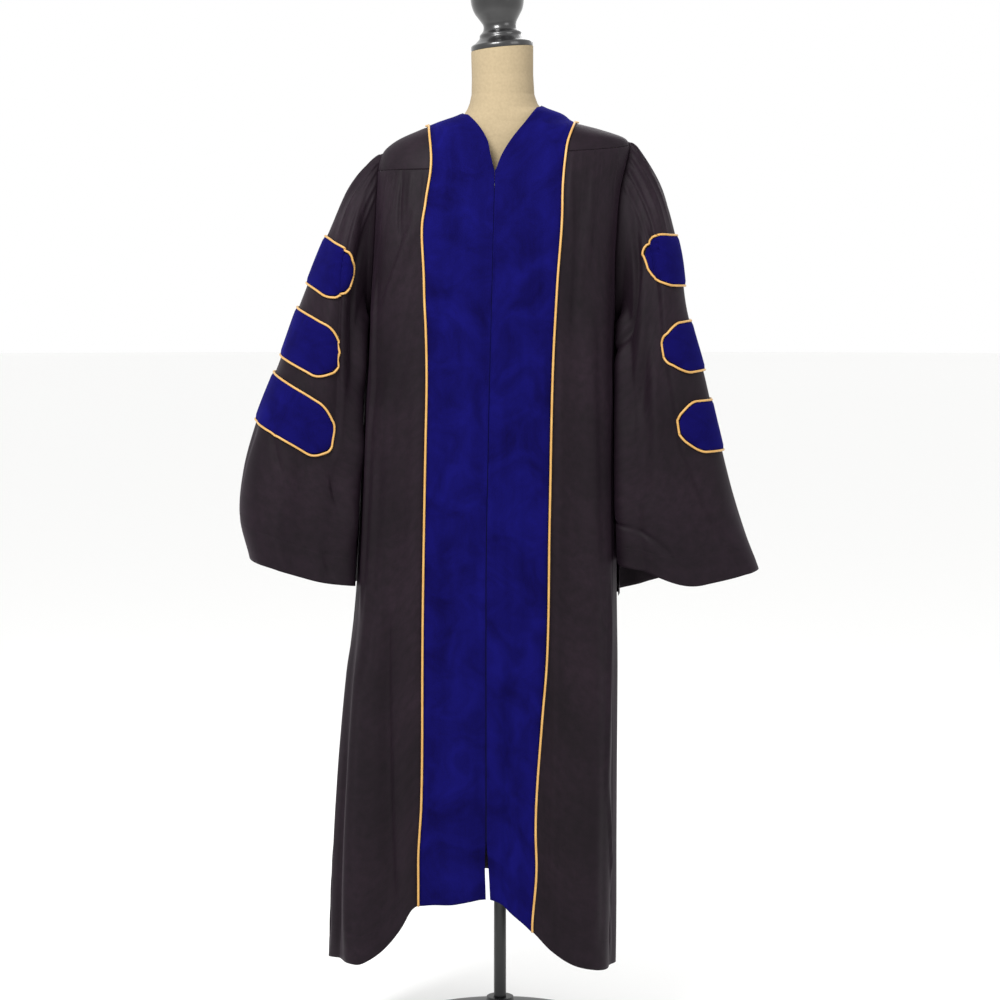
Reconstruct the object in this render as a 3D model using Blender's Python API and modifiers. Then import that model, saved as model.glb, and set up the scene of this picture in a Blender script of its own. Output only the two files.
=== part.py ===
"""A doctoral graduation gown, hanging open-hemmed on a limbless dress form.

Metres, +Z up. The form's pole stands on x = 0, y = 0 and its base on z = 0. The wearer
would face -Y, so "left" and "right" here are the left and right of someone looking along
+Y at the front. The body of the gown is one surface, read by a turn round it (in quarter
turns from centre front) and a height. Each piece of cloth is cut out of that surface, so
the pieces meet along their seams. Each sleeve is a second surface, from the armhole to
the cuff.
"""

import math
from collections import namedtuple

import bmesh
import bpy
import numpy as np
from mathutils import Matrix, Vector

# Cloth, cord and seams
GOWN_CLOTH = 0.0016
VELVET = 0.0024
BAR_VELVET = 0.0018
ZIP_TAPE = 0.0010
CORD_RADIUS = 0.0018
SEAM_GAP = 0.0010
PIPED_GAP = 0.0018
LAYER_GAP = 0.0004
BAR_LIFT = 0.0020
BAR_EDGE_GAP = 0.0011
RIDGE_GAP = 0.0055
SLEEVE_INSET = 0.0022
HEAD_BLEND = 0.16
ZIP_LOW = 0.366
ZIP_HIGH = 1.405
ZIP_HALF_WIDTH = 0.012
ZIP_GAP = 0.0014

# Sections of the gown's body at a height: how far it reaches to each side and how square it is
Ring = namedtuple("Ring", "z left right front back square")
BODY_RINGS = (
    Ring(0.130, 0.276, 0.186, 0.160, 0.168, 3.0),
    Ring(0.300, 0.271, 0.188, 0.155, 0.160, 3.0),
    Ring(0.440, 0.262, 0.189, 0.151, 0.152, 3.0),
    Ring(0.600, 0.248, 0.189, 0.147, 0.144, 3.0),
    Ring(0.755, 0.232, 0.188, 0.143, 0.136, 3.0),
    Ring(0.900, 0.224, 0.187, 0.141, 0.130, 3.0),
    Ring(1.060, 0.216, 0.185, 0.139, 0.126, 3.0),
    Ring(1.150, 0.210, 0.183, 0.138, 0.125, 3.0),
    Ring(1.230, 0.207, 0.184, 0.135, 0.125, 3.0),
    Ring(1.320, 0.204, 0.188, 0.127, 0.121, 3.0),
    Ring(1.400, 0.198, 0.196, 0.114, 0.112, 2.8),
    Ring(1.440, 0.192, 0.204, 0.104, 0.104, 2.6),
    Ring(1.460, 0.181, 0.207, 0.098, 0.099, 2.4),
    Ring(1.475, 0.160, 0.201, 0.092, 0.094, 2.3),
    Ring(1.490, 0.126, 0.160, 0.087, 0.089, 2.2),
    Ring(1.500, 0.102, 0.122, 0.083, 0.085, 2.2),
    Ring(1.515, 0.062, 0.098, 0.078, 0.081, 2.1),
    Ring(1.525, 0.056, 0.072, 0.074, 0.078, 2.0),
    Ring(1.540, 0.054, 0.060, 0.070, 0.075, 2.0),
)

# The hem hangs low at the sides and is hitched up in front, by the turn round the gown
Hem = namedtuple("Hem", "turn z")
HEM = (
    Hem(-1.000, 0.155),
    Hem(-0.780, 0.160),
    Hem(-0.605, 0.165),
    Hem(-0.517, 0.164),
    Hem(-0.463, 0.174),
    Hem(-0.399, 0.199),
    Hem(-0.350, 0.228),
    Hem(-0.309, 0.260),
    Hem(-0.267, 0.266),
    Hem(-0.180, 0.268),
    Hem(-0.050, 0.277),
    Hem(0.080, 0.250),
    Hem(0.170, 0.225),
    Hem(0.278, 0.189),
    Hem(0.378, 0.168),
    Hem(0.481, 0.158),
    Hem(0.620, 0.153),
    Hem(1.000, 0.148),
    Hem(1.300, 0.166),
    Hem(1.650, 0.215),
    Hem(2.000, 0.250),
    Hem(2.350, 0.215),
    Hem(2.700, 0.172),
    Hem(3.000, 0.155),
)

# Front lines that run down the gown, seen from the front
Line = namedtuple("Line", "z x")
CENTRE_FRONT = (
    Line(0.277, -0.019),
    Line(0.370, -0.022),
    Line(0.750, -0.022),
    Line(0.960, -0.019),
    Line(1.174, -0.014),
    Line(1.298, -0.011),
    Line(1.421, -0.008),
)
PIPING_LEFT = (
    Line(0.264, -0.129),
    Line(0.332, -0.129),
    Line(0.430, -0.124),
    Line(0.750, -0.121),
    Line(1.000, -0.116),
    Line(1.110, -0.114),
    Line(1.250, -0.118),
    Line(1.330, -0.121),
    Line(1.375, -0.115),
    Line(1.437, -0.107),
    Line(1.495, -0.112),
)
PIPING_RIGHT = (
    Line(0.238, 0.051),
    Line(0.332, 0.057),
    Line(0.380, 0.056),
    Line(0.557, 0.065),
    Line(0.653, 0.073),
    Line(0.876, 0.077),
    Line(1.127, 0.083),
    Line(1.251, 0.089),
    Line(1.344, 0.096),
    Line(1.406, 0.098),
    Line(1.437, 0.101),
    Line(1.468, 0.106),
    Line(1.501, 0.119),
)
NECKLINE_LEFT = (
    Line(1.421, -0.009),
    Line(1.447, -0.015),
    Line(1.470, -0.020),
    Line(1.492, -0.033),
    Line(1.517, -0.056),
)
NECKLINE_RIGHT = (
    Line(1.421, -0.007),
    Line(1.447, 0.003),
    Line(1.473, 0.019),
    Line(1.498, 0.039),
    Line(1.529, 0.063),
)
# How far the two front edges stand apart: a closed zip, then a slit below it
Slit = namedtuple("Slit", "z gap")
FRONT_GAP = (
    Slit(0.277, 0.0070),
    Slit(0.340, 0.0050),
    Slit(0.372, 0.0018),
    Slit(0.750, 0.0014),
    Slit(1.421, 0.0008),
)

# Per side: where the seams meet neck and shoulder, the armhole, and how far up it the seams end
Side = namedtuple(
    "Side",
    "name sign piping neckline neck_z ridge_z yoke_z armhole_z armhole_half yoke_at back_yoke_at",
)
LEFT = Side(
    "left", -1, PIPING_LEFT, NECKLINE_LEFT, 1.517, 1.4955, 1.424, 1.318, 0.138, 140, 120,
)
RIGHT = Side(
    "right", 1, PIPING_RIGHT, NECKLINE_RIGHT, 1.529, 1.5010, 1.452, 1.325, 0.150, 160, 120,
)
ARMHOLE_TURN = 0.27
ARMHOLE_STEP = 20
BACK_YOKE_Z = 1.372
BACK_BAND_Z = 1.452
BAND_TOP_Z = 1.498

# Folds: where each lies across the cloth and along it, how far it stands out, and its half width
Fold = namedtuple("Fold", "at_top at_bottom top bottom rise_top rise_bottom width")
FRONT_FOLDS = (
    Fold(-0.62, -0.50, 1.10, -0.20, 0.004, 0.013, 0.13),
    Fold(-0.47, -0.36, 0.95, -0.20, -0.003, -0.011, 0.09),
    Fold(-0.52, -0.66, 1.42, 1.06, 0.006, 0.004, 0.12),
    Fold(0.60, 0.50, 1.44, -0.20, 0.004, 0.014, 0.17),
    Fold(0.40, 0.27, 1.30, -0.20, -0.003, -0.011, 0.09),
    Fold(-0.15, -0.16, 1.30, -0.20, 0.003, 0.004, 0.08),
    Fold(0.12, 0.07, 1.30, -0.20, 0.003, 0.003, 0.07),
)
SIDE_FOLDS = (
    Fold(-0.80, -0.74, 0.72, -0.20, 0.004, 0.010, 0.11),
    Fold(-0.96, -0.90, 0.72, -0.20, -0.006, -0.016, 0.10),
    Fold(0.80, 0.76, 0.72, -0.20, 0.002, 0.005, 0.10),
    Fold(0.98, 0.95, 0.72, -0.20, -0.006, -0.014, 0.12),
    Fold(1.12, 1.12, 0.72, -0.20, 0.003, 0.006, 0.10),
    Fold(2.88, 2.90, 0.72, -0.20, 0.004, 0.006, 0.10),
)
BACK_FROM = 1.30
BACK_FOLD_PITCH = 0.175
BACK_FOLD_TOP = 0.005
BACK_FOLD_BOTTOM = (0.018, 0.013, 0.022, 0.016, 0.021, 0.014, 0.020, 0.017)
FADE = 0.10

# Sections of each sleeve: its outer and inner line seen from the front, and its depth
Section = namedtuple(
    "Section", "along outer_x outer_z inner_x inner_z front back square"
)
SLEEVE_LEFT = (
    Section(0.05, 0.214, 1.436, 0.2215, 1.173, 0.062, 0.058, 2.0),
    Section(0.13, 0.237, 1.402, 0.2200, 1.150, 0.076, 0.070, 2.1),
    Section(0.27, 0.279, 1.314, 0.2195, 1.105, 0.086, 0.090, 2.3),
    Section(0.43, 0.319, 1.216, 0.2210, 1.050, 0.092, 0.099, 2.4),
    Section(0.57, 0.355, 1.118, 0.2240, 0.985, 0.096, 0.106, 2.5),
    Section(0.71, 0.391, 1.026, 0.2275, 0.915, 0.101, 0.112, 2.6),
    Section(0.83, 0.413, 0.945, 0.2305, 0.855, 0.106, 0.114, 2.6),
    Section(0.92, 0.420, 0.880, 0.2330, 0.808, 0.108, 0.112, 2.6),
    Section(1.00, 0.404, 0.812, 0.2365, 0.757, 0.112, 0.106, 2.6),
)
SLEEVE_RIGHT = (
    Section(0.05, 0.229, 1.455, 0.1995, 1.167, 0.062, 0.060, 2.0),
    Section(0.13, 0.253, 1.409, 0.1965, 1.146, 0.076, 0.072, 2.1),
    Section(0.27, 0.281, 1.315, 0.1930, 1.105, 0.092, 0.092, 2.5),
    Section(0.43, 0.298, 1.205, 0.1910, 1.048, 0.100, 0.100, 2.7),
    Section(0.57, 0.324, 1.110, 0.1905, 0.980, 0.106, 0.107, 2.9),
    Section(0.71, 0.346, 1.018, 0.1915, 0.905, 0.110, 0.113, 3.0),
    Section(0.83, 0.371, 0.916, 0.1920, 0.840, 0.112, 0.116, 3.0),
    Section(0.92, 0.393, 0.850, 0.1925, 0.785, 0.112, 0.116, 3.0),
    Section(1.00, 0.415, 0.792, 0.1930, 0.738, 0.110, 0.114, 2.8),
)
# Sleeve folds lie by the share of the girth from the inner line, over the front, and by "along"
SLEEVE_FOLDS_LEFT = (
    Fold(0.375, 0.20, 0.08, 0.62, 0.004, 0.006, 0.075),
    Fold(0.290, 0.13, -0.10, 0.50, -0.004, -0.003, 0.075),
    Fold(0.450, 0.46, -0.10, 0.24, 0.004, 0.002, 0.040),
    Fold(0.250, 0.20, 0.62, 1.20, -0.004, -0.010, 0.080),
    Fold(0.380, 0.38, 0.62, 1.20, 0.002, 0.007, 0.090),
    Fold(0.570, 0.60, -0.10, 0.50, 0.004, 0.003, 0.050),
    Fold(0.660, 0.70, -0.10, 1.20, -0.004, -0.011, 0.070),
    Fold(0.760, 0.80, 0.10, 1.20, 0.003, 0.010, 0.070),
)
SLEEVE_FOLDS_RIGHT = (
    Fold(0.400, 0.16, -0.10, 0.55, -0.004, -0.006, 0.075),
    Fold(0.400, 0.39, 0.22, 1.20, 0.003, 0.007, 0.070),
    Fold(0.300, 0.27, 0.55, 1.20, -0.003, -0.009, 0.080),
    Fold(0.470, 0.47, -0.10, 0.22, -0.003, -0.002, 0.040),
    Fold(0.580, 0.60, -0.10, 0.45, 0.004, 0.003, 0.050),
    Fold(0.660, 0.69, -0.10, 1.20, -0.004, -0.011, 0.070),
    Fold(0.770, 0.80, 0.10, 1.20, 0.003, 0.010, 0.070),
)
# The front of the right cuff is caught up beside the body, and the back hangs lower there
CUFF_LIFT_LEFT = 0.006
CUFF_LIFT_RIGHT = 0.066
CUFF_LIFT_AT = 0.06
CUFF_LIFT_NARROW = 0.09
CUFF_LIFT_WIDE = 0.22
CUFF_LIFT_FROM = 0.72

# Velvet bars across each sleeve, by "along" on the outer line, how far each sits to the front,
# how far its back stands off the sleeve, and by how many degrees its tips hang lower than square
Bar = namedtuple("Bar", "along forward gap tilt")
BARS_LEFT = (
    Bar(0.319, -0.006, 0.0012, 9), Bar(0.497, 0.021, 0.0010, 8), Bar(0.648, 0.059, 0.0010, 8),
)
BARS_RIGHT = (
    Bar(0.318, -0.009, 0.0011, -8), Bar(0.514, 0.000, 0.0010, -10), Bar(0.706, 0.012, 0.0010, -13),
)
BAR_HALF_LENGTH = 0.134
BAR_HALF_WIDTH = 0.038
BAR_CHAMFER = 0.026
BAR_TIP_HALF_WIDTH = 0.015

# The dress form: its body, then shoulders just under the gown's, then its neck
FORM_BODY = (
    Ring(0.800, 0.128, 0.128, 0.088, 0.092, 2.3),
    Ring(0.840, 0.156, 0.154, 0.104, 0.112, 2.3),
    Ring(0.900, 0.163, 0.160, 0.108, 0.114, 2.3),
    Ring(0.980, 0.152, 0.148, 0.098, 0.102, 2.3),
    Ring(1.080, 0.126, 0.120, 0.088, 0.084, 2.2),
    Ring(1.180, 0.136, 0.130, 0.100, 0.088, 2.2),
    Ring(1.260, 0.148, 0.146, 0.108, 0.094, 2.2),
    Ring(1.350, 0.156, 0.160, 0.098, 0.094, 2.2),
    Ring(1.415, 0.160, 0.172, 0.084, 0.086, 2.2),
)
FORM_SHOULDERS = (1.440, 1.455, 1.466, 1.475, 1.483, 1.490, 1.496, 1.502, 1.508, 1.515)
FORM_WIDEST = (0.164, 0.186)
FORM_DROP = 0.0019
FORM_DEPTH = 0.76
FORM_NECK_CLEAR = 0.0029
FORM_NECK = (
    Ring(1.5235, 0.0520, 0.0660, 0.0570, 0.0600, 2.0),
    Ring(1.532, 0.0485, 0.0600, 0.0550, 0.0570, 2.0),
    Ring(1.546, 0.0455, 0.0550, 0.0520, 0.0540, 2.0),
    Ring(1.575, 0.045, 0.053, 0.049, 0.051, 2.0),
    Ring(1.618, 0.046, 0.053, 0.049, 0.049, 2.0),
)
NECK_X = 0.0035
NECK_LEAN = 0.10
NECK_LEAN_FROM = 1.54
FORM_SEGMENTS = 24

Turned = namedtuple("Turned", "radius z")
NECK_CAP = (
    Turned(0.0000, 0.000),
    Turned(0.0480, 0.000),
    Turned(0.0495, 0.003),
    Turned(0.0485, 0.008),
    Turned(0.0420, 0.012),
    Turned(0.0345, 0.019),
    Turned(0.0335, 0.024),
    Turned(0.0280, 0.030),
    Turned(0.0262, 0.038),
    Turned(0.0325, 0.050),
    Turned(0.0385, 0.060),
    Turned(0.0420, 0.073),
    Turned(0.0425, 0.084),
    Turned(0.0390, 0.097),
    Turned(0.0290, 0.109),
    Turned(0.0140, 0.116),
    Turned(0.0000, 0.118),
)
STAND_BASE = (
    Turned(0.0000, 0.000),
    Turned(0.1900, 0.000),
    Turned(0.1930, 0.004),
    Turned(0.1930, 0.014),
    Turned(0.1860, 0.021),
    Turned(0.1100, 0.027),
    Turned(0.0420, 0.034),
    Turned(0.0260, 0.046),
    Turned(0.0230, 0.072),
    Turned(0.0190, 0.076),
    Turned(0.0000, 0.076),
)
TURNED_STEPS = 20
POLE_RADIUS = 0.010
POLE_SEGMENTS = 16
STAND_GAP = 0.0003

# Rows and columns of each piece
SKIRT_ROWS = 10
VELVET_ROWS = 16
ZIP_ROWS = 16
UPPER_ROWS = 6
VELVET_COLUMNS = 4
FRONT_COLUMNS = 10
SIDE_COLUMNS = 4
GATHERED_COLUMNS = 32
YOKE_COLUMNS = 20
RIDGE_ROWS = 2
BAND_ROWS = 3
SLEEVE_COLUMNS = 36
SLEEVE_CELLS = (3, 2, 1, 2, 1, 2, 3)
CORD_STEP = 0.060
BEND_STEPS = 10


def smooth(at, places, values, limit=True):
    """A smooth curve through values at places, read at each of at. With limit it never overshoots."""
    places = np.asarray(places, float)
    values = np.asarray(values, float)
    more = (slice(None),) + (None,) * (values.ndim - 1)
    step = np.diff(places)[more]
    rise = np.diff(values, axis=0) / step
    slope = np.concatenate([rise[:1], np.zeros_like(rise[1:]), rise[-1:]])
    slope[1:-1] = (rise[:-1] * step[1:] + rise[1:] * step[:-1]) / (step[:-1] + step[1:])
    if limit:
        slope[1:-1][rise[:-1] * rise[1:] <= 0] = 0
        most = 3 * np.minimum(abs(rise[:-1]), abs(rise[1:]))
        slope[1:-1] = np.clip(slope[1:-1], -most, most)
    at = np.clip(np.asarray(at, float), places[0], places[-1])
    k = np.clip(np.searchsorted(places, at, side="right") - 1, 0, len(places) - 2)
    s = ((at - places[k]) / np.diff(places)[k]).reshape(at.shape + (1,) * (values.ndim - 1))
    step = step[k]
    start, end = values[k], values[k + 1]
    bend = slope[k] * (1 - s) - slope[k + 1] * s
    return start * (1 + 2 * s) * (1 - s) ** 2 + end * s * s * (3 - 2 * s) + step * s * (1 - s) * bend


def read(table, column, at, key="z"):
    """One column of a table, read smoothly at the given places of its key column."""
    return smooth(at, [getattr(row, key) for row in table], [getattr(row, column) for row in table])


def ease(x):
    """0 to 1, with a soft start and end."""
    x = np.clip(x, 0, 1)
    return x * x * (3 - 2 * x)


def oval(turn, square):
    """A square-cornered oval of half width 1, by quarter turns from (0, 1): (across, toward)."""
    angle = np.asarray(turn) * math.pi / 2
    across, toward = np.sin(angle), np.cos(angle)
    reach = (abs(across) ** square + abs(toward) ** square) ** (-1 / square)
    return across * reach, toward * reach


def turn_of(x, z):
    """The turn at which the gown's front lies at this x, at height z."""
    side = np.where(np.asarray(x) < 0, read(BODY_RINGS, "left", z), read(BODY_RINGS, "right", z))
    square = read(BODY_RINGS, "square", z)
    share = np.clip(abs(x) / side, 0, 0.99999)
    turn = np.arctan2(share, (1 - share**square) ** (1 / square)) * 2 / math.pi
    return np.sign(x) * turn


def stand_out(across, along, folds, period, falling=False):
    """How far the folds stand out of the plain surface. Heights fall from top to bottom."""
    total = np.zeros(np.broadcast(across, along).shape)
    for fold in folds:
        top, bottom = (-fold.top, -fold.bottom) if falling else (fold.top, fold.bottom)
        place = -along if falling else along
        share = np.clip((place - top) / (bottom - top), 0, 1)
        centre = fold.at_top + (fold.at_bottom - fold.at_top) * share
        off = (across - centre + period / 2) % period - period / 2
        shape = 0.5 + 0.5 * np.cos(math.pi * np.clip(off / fold.width, -1, 1))
        ends = ease((place - top) / FADE) * ease((bottom - place) / FADE)
        total += (fold.rise_top + (fold.rise_bottom - fold.rise_top) * share) * shape * ends
    return total


def back_folds():
    """Evenly spaced flutes that open out from the back yoke to the hem."""
    folds = []
    for k, rise in enumerate(BACK_FOLD_BOTTOM):
        at = BACK_FROM + BACK_FOLD_PITCH * (k + 0.5)
        folds.append(Fold(at, at, BACK_YOKE_Z, -0.20, BACK_FOLD_TOP, rise, 0.080))
    return tuple(folds)


BODY_FOLDS = FRONT_FOLDS + SIDE_FOLDS + back_folds()


def body_plain(turn, z):
    """The gown's body without folds."""
    across, toward = oval(turn, read(BODY_RINGS, "square", z))
    side = np.where(across < 0, read(BODY_RINGS, "left", z), read(BODY_RINGS, "right", z))
    depth = np.where(toward > 0, read(BODY_RINGS, "front", z), read(BODY_RINGS, "back", z))
    return np.stack([side * across, -depth * toward, z + 0 * across], axis=-1)


def body_folded(turn, z):
    """The gown's body with its folds, which stand out level."""
    turn, z = np.broadcast_arrays(np.asarray(turn, float), np.asarray(z, float))
    small = 0.004
    along = body_plain(turn + small, z) - body_plain(turn - small, z)
    level = np.stack([along[..., 1], -along[..., 0], 0 * z], axis=-1)
    level /= np.linalg.norm(level, axis=-1, keepdims=True)
    rise = stand_out(turn, z, BODY_FOLDS, period=4, falling=True)
    return body_plain(turn, z) + level * rise[..., None]


def body(turn, z, out=0.0):
    """A point of the gown's body, moved out square to the cloth."""
    turn, z = np.broadcast_arrays(np.asarray(turn, float), np.asarray(z, float))
    small = 0.004
    round_it = body_folded(turn + small, z) - body_folded(turn - small, z)
    up = body_folded(turn, z + small / 4) - body_folded(turn, z - small / 4)
    normal = np.cross(round_it, up)
    normal /= np.linalg.norm(normal, axis=-1, keepdims=True)
    return body_folded(turn, z) + normal * out


def piping_turn(side, z):
    """The turn of the seam between velvet and black cloth, which reaches the shoulder ridge."""
    turn = turn_of(read(side.piping, "x", z), z)
    near_ridge = ease((np.asarray(z) - side.ridge_z + 0.012) / 0.012)
    return turn * (1 - near_ridge) + side.sign * near_ridge


def front_edge_turn(side, z):
    """The turn of the velvet's front edge, half the gap away from centre front."""
    x = read(CENTRE_FRONT, "x", z) + side.sign * read(FRONT_GAP, "gap", z) / 2
    return turn_of(x, z)


def neckline_turn(side, z):
    """The turn of the V neckline, which ends on the shoulder ridge at the neck."""
    turn = turn_of(read(side.neckline, "x", z), z)
    near_ridge = ease((np.asarray(z) - side.neck_z + 0.008) / 0.008)
    return turn * (1 - near_ridge) + side.sign * near_ridge


def armhole(side, angle, back=False):
    """A turn and a height on the armhole, by degrees from the underarm up to the shoulder.

    Its outline is straight between steps, and the sleeve's first ring has the same steps.
    """
    node = np.arange(0, 181, ARMHOLE_STEP)
    reach = ARMHOLE_TURN * np.sin(np.radians(node))
    height = side.armhole_z - side.armhole_half * np.cos(np.radians(node))
    turn = np.interp(angle, node, reach)
    return 1 + turn if back else 1 - turn, np.interp(angle, node, height)


def half_gap(z, gap=SEAM_GAP):
    """Half a seam's gap in turns, for a cut that runs up the gown."""
    return gap / 2 / (0.8 * (read(BODY_RINGS, "right", z) + read(BODY_RINGS, "front", z)))


def hem_z(turn):
    return read(HEM, "z", turn, key="turn")


def line(start, end, count):
    return start + (end - start) * np.linspace(0, 1, count + 1)


def spaced(turn_at, low, high, count):
    """Heights spread evenly along a cut that runs up the cloth, by the length of the cut."""
    z = np.linspace(low, high, 120)
    steps = np.linalg.norm(np.diff(body_plain(turn_at(z), z), axis=0), axis=1)
    length = np.concatenate([[0], np.cumsum(steps)])
    return np.interp(np.linspace(0, length[-1], count + 1), length, z)


def patch(bottom, top, left, right):
    """Turns and heights all over a piece, blended from its four edges, each a list of (turn, z)."""
    bottom, top, left, right = (np.stack(edge, axis=-1) for edge in (bottom, top, left, right))
    a = np.linspace(0, 1, len(bottom))[None, :, None]
    b = np.linspace(0, 1, len(left))[:, None, None]
    sides = (1 - a) * left[:, None] + a * right[:, None]
    ends = (1 - b) * bottom[None] + b * top[None]
    corners = (1 - a) * ((1 - b) * bottom[0] + b * top[0]) + a * ((1 - b) * bottom[-1] + b * top[-1])
    both = sides + ends - corners
    return both[..., 0], both[..., 1]


def material(name, colour, roughness, metallic=0.0):
    made = bpy.data.materials.new(name)
    made.use_nodes = True
    shader = made.node_tree.nodes["Principled BSDF"]
    shader.inputs["Base Color"].default_value = (*colour, 1)
    shader.inputs["Roughness"].default_value = roughness
    shader.inputs["Metallic"].default_value = metallic
    return made


def add_object(name, mesh, finish, collection):
    obj = bpy.data.objects.new(name, mesh)
    obj.data.materials.append(finish)
    collection.objects.link(obj)
    return obj


def cloth(name, points, thickness, finish, collection, tube=False):
    """A wall of cloth through a grid of points, row by row. A tube's last column is its first."""
    rows, columns = points.shape[0] - 1, points.shape[1] - 1
    shape = bmesh.new()
    bmesh.ops.create_grid(shape, x_segments=columns, y_segments=rows, size=1)
    for vertex in shape.verts:
        column = round((vertex.co.x + 1) / 2 * columns)
        row = round((vertex.co.y + 1) / 2 * rows)
        vertex.co = Vector(points[row, column])
    bmesh.ops.triangulate(shape, faces=shape.faces, quad_method="FIXED")
    if tube:
        bmesh.ops.remove_doubles(shape, verts=shape.verts, dist=0.00001)
    bmesh.ops.recalc_face_normals(shape, faces=shape.faces)
    mesh = bpy.data.meshes.new(name)
    shape.to_mesh(mesh)
    shape.free()
    mesh.shade_smooth()
    obj = add_object(name, mesh, finish, collection)
    wall = obj.modifiers.new("cloth", "SOLIDIFY")
    wall.thickness = thickness
    wall.offset = 0
    wall.use_quality_normals = True
    return obj


def cord(name, points, finish, collection, closed=False):
    """A piping cord along the points."""
    data = bpy.data.curves.new(name, "CURVE")
    data.dimensions = "3D"
    data.bevel_depth = CORD_RADIUS
    data.bevel_resolution = 0
    data.use_fill_caps = True
    run = data.splines.new("POLY")
    run.points.add(len(points) - 1)
    for place, point in zip(run.points, points):
        place.co = (*point, 1)
    run.use_cyclic_u = closed
    return add_object(name, data, finish, collection)


def turned(name, profile, place, finish, collection, tilt=0.0):
    """A turned piece: its profile, spun about its own axis and stood at a place."""
    shape = bmesh.new()
    ring = [shape.verts.new((row.radius, 0, row.z)) for row in profile]
    for low, high in zip(ring, ring[1:]):
        shape.edges.new((low, high))
    bmesh.ops.spin(
        shape, geom=shape.verts[:] + shape.edges[:], cent=(0, 0, 0), axis=(0, 0, 1),
        angle=2 * math.pi, steps=TURNED_STEPS, use_merge=True,
    )
    bmesh.ops.remove_doubles(shape, verts=shape.verts, dist=0.00002)
    bmesh.ops.recalc_face_normals(shape, faces=shape.faces)
    mesh = bpy.data.meshes.new(name)
    shape.to_mesh(mesh)
    shape.free()
    mesh.shade_smooth()
    mesh.set_sharp_from_angle(angle=math.radians(40))
    obj = add_object(name, mesh, finish, collection)
    obj.matrix_world = Matrix.Translation(place) @ Matrix.Rotation(tilt, 4, "Y")
    return obj


def velvet_front(side, finish, collection):
    """The velvet panel of one front, from the hem to the shoulder ridge."""
    sign = side.sign
    join_z = side.neckline[0].z
    inner = line(hem_z(front_edge_turn(side, 0.27)), join_z, VELVET_ROWS)
    outer = line(hem_z(piping_turn(side, 0.25)), side.yoke_z, VELVET_ROWS)
    inner_turn = front_edge_turn(side, inner)
    outer_turn = piping_turn(side, outer) - sign * half_gap(outer, PIPED_GAP)
    hem_turn = line(inner_turn[0], outer_turn[0], VELVET_COLUMNS)
    join_turn = line(inner_turn[-1], outer_turn[-1], VELVET_COLUMNS)
    join = line(join_z, side.yoke_z, VELVET_COLUMNS)
    low = patch((hem_turn, hem_z(hem_turn)), (join_turn, join), (inner_turn, inner), (outer_turn, outer))

    neck = spaced(lambda z: neckline_turn(side, z), join_z, side.neck_z, UPPER_ROWS)
    over = spaced(lambda z: piping_turn(side, z), side.yoke_z, side.ridge_z, UPPER_ROWS)
    neck_turn = neckline_turn(side, neck)
    over_turn = piping_turn(side, over) - sign * half_gap(over, PIPED_GAP)
    neck_turn[0] = inner_turn[-1]
    neck_turn[-1] = over_turn[-1] = sign * (1 - RIDGE_GAP)
    ridge = line(side.neck_z, side.ridge_z + SEAM_GAP / 4, VELVET_COLUMNS)
    over[-1] = ridge[-1]
    ridge_turn = np.full(VELVET_COLUMNS + 1, over_turn[-1])
    high = patch((join_turn, join), (ridge_turn, ridge), (neck_turn, neck), (over_turn, over))

    turn = np.concatenate([low[0], high[0][1:]])
    z = np.concatenate([low[1], high[1][1:]])
    cloth(f"velvet_front_{side.name}", body(turn, z), VELVET, finish, collection)


def side_heights(side, low, end):
    """Heights up a side seam from the hem, then the turns and heights up the armhole."""
    under = side.armhole_z - side.armhole_half
    steps = round(end / ARMHOLE_STEP)
    skirt = line(low, under, SKIRT_ROWS)
    return skirt, np.linspace(0, end, steps + 1)[1:]


def black_front(side, finish, collection):
    """The black front panel, from the piping round to the side seam and up to the yoke."""
    sign = side.sign
    skirt, angles = side_heights(side, hem_z(float(sign)), side.yoke_at)
    arm_turn, arm_z = armhole(side, angles)
    outer = np.concatenate([skirt, arm_z])
    outer_turn = sign * (np.concatenate([np.ones_like(skirt), arm_turn]) - half_gap(outer))
    inner = line(hem_z(piping_turn(side, 0.25)), skirt[-1], SKIRT_ROWS)
    inner = np.concatenate([inner, line(skirt[-1], side.yoke_z - SEAM_GAP / 2, len(angles))[1:]])
    inner_turn = piping_turn(side, inner) + sign * half_gap(inner, PIPED_GAP)
    hem_turn = line(inner_turn[0], outer_turn[0], FRONT_COLUMNS)
    top_turn = line(inner_turn[-1], outer_turn[-1], FRONT_COLUMNS)
    outer[-1] -= SEAM_GAP / 2
    top = line(inner[-1], outer[-1], FRONT_COLUMNS)
    turn, z = patch((hem_turn, hem_z(hem_turn)), (top_turn, top), (inner_turn, inner), (outer_turn, outer))
    cloth(f"front_{side.name}", body(turn, z), GOWN_CLOTH, finish, collection)


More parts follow.
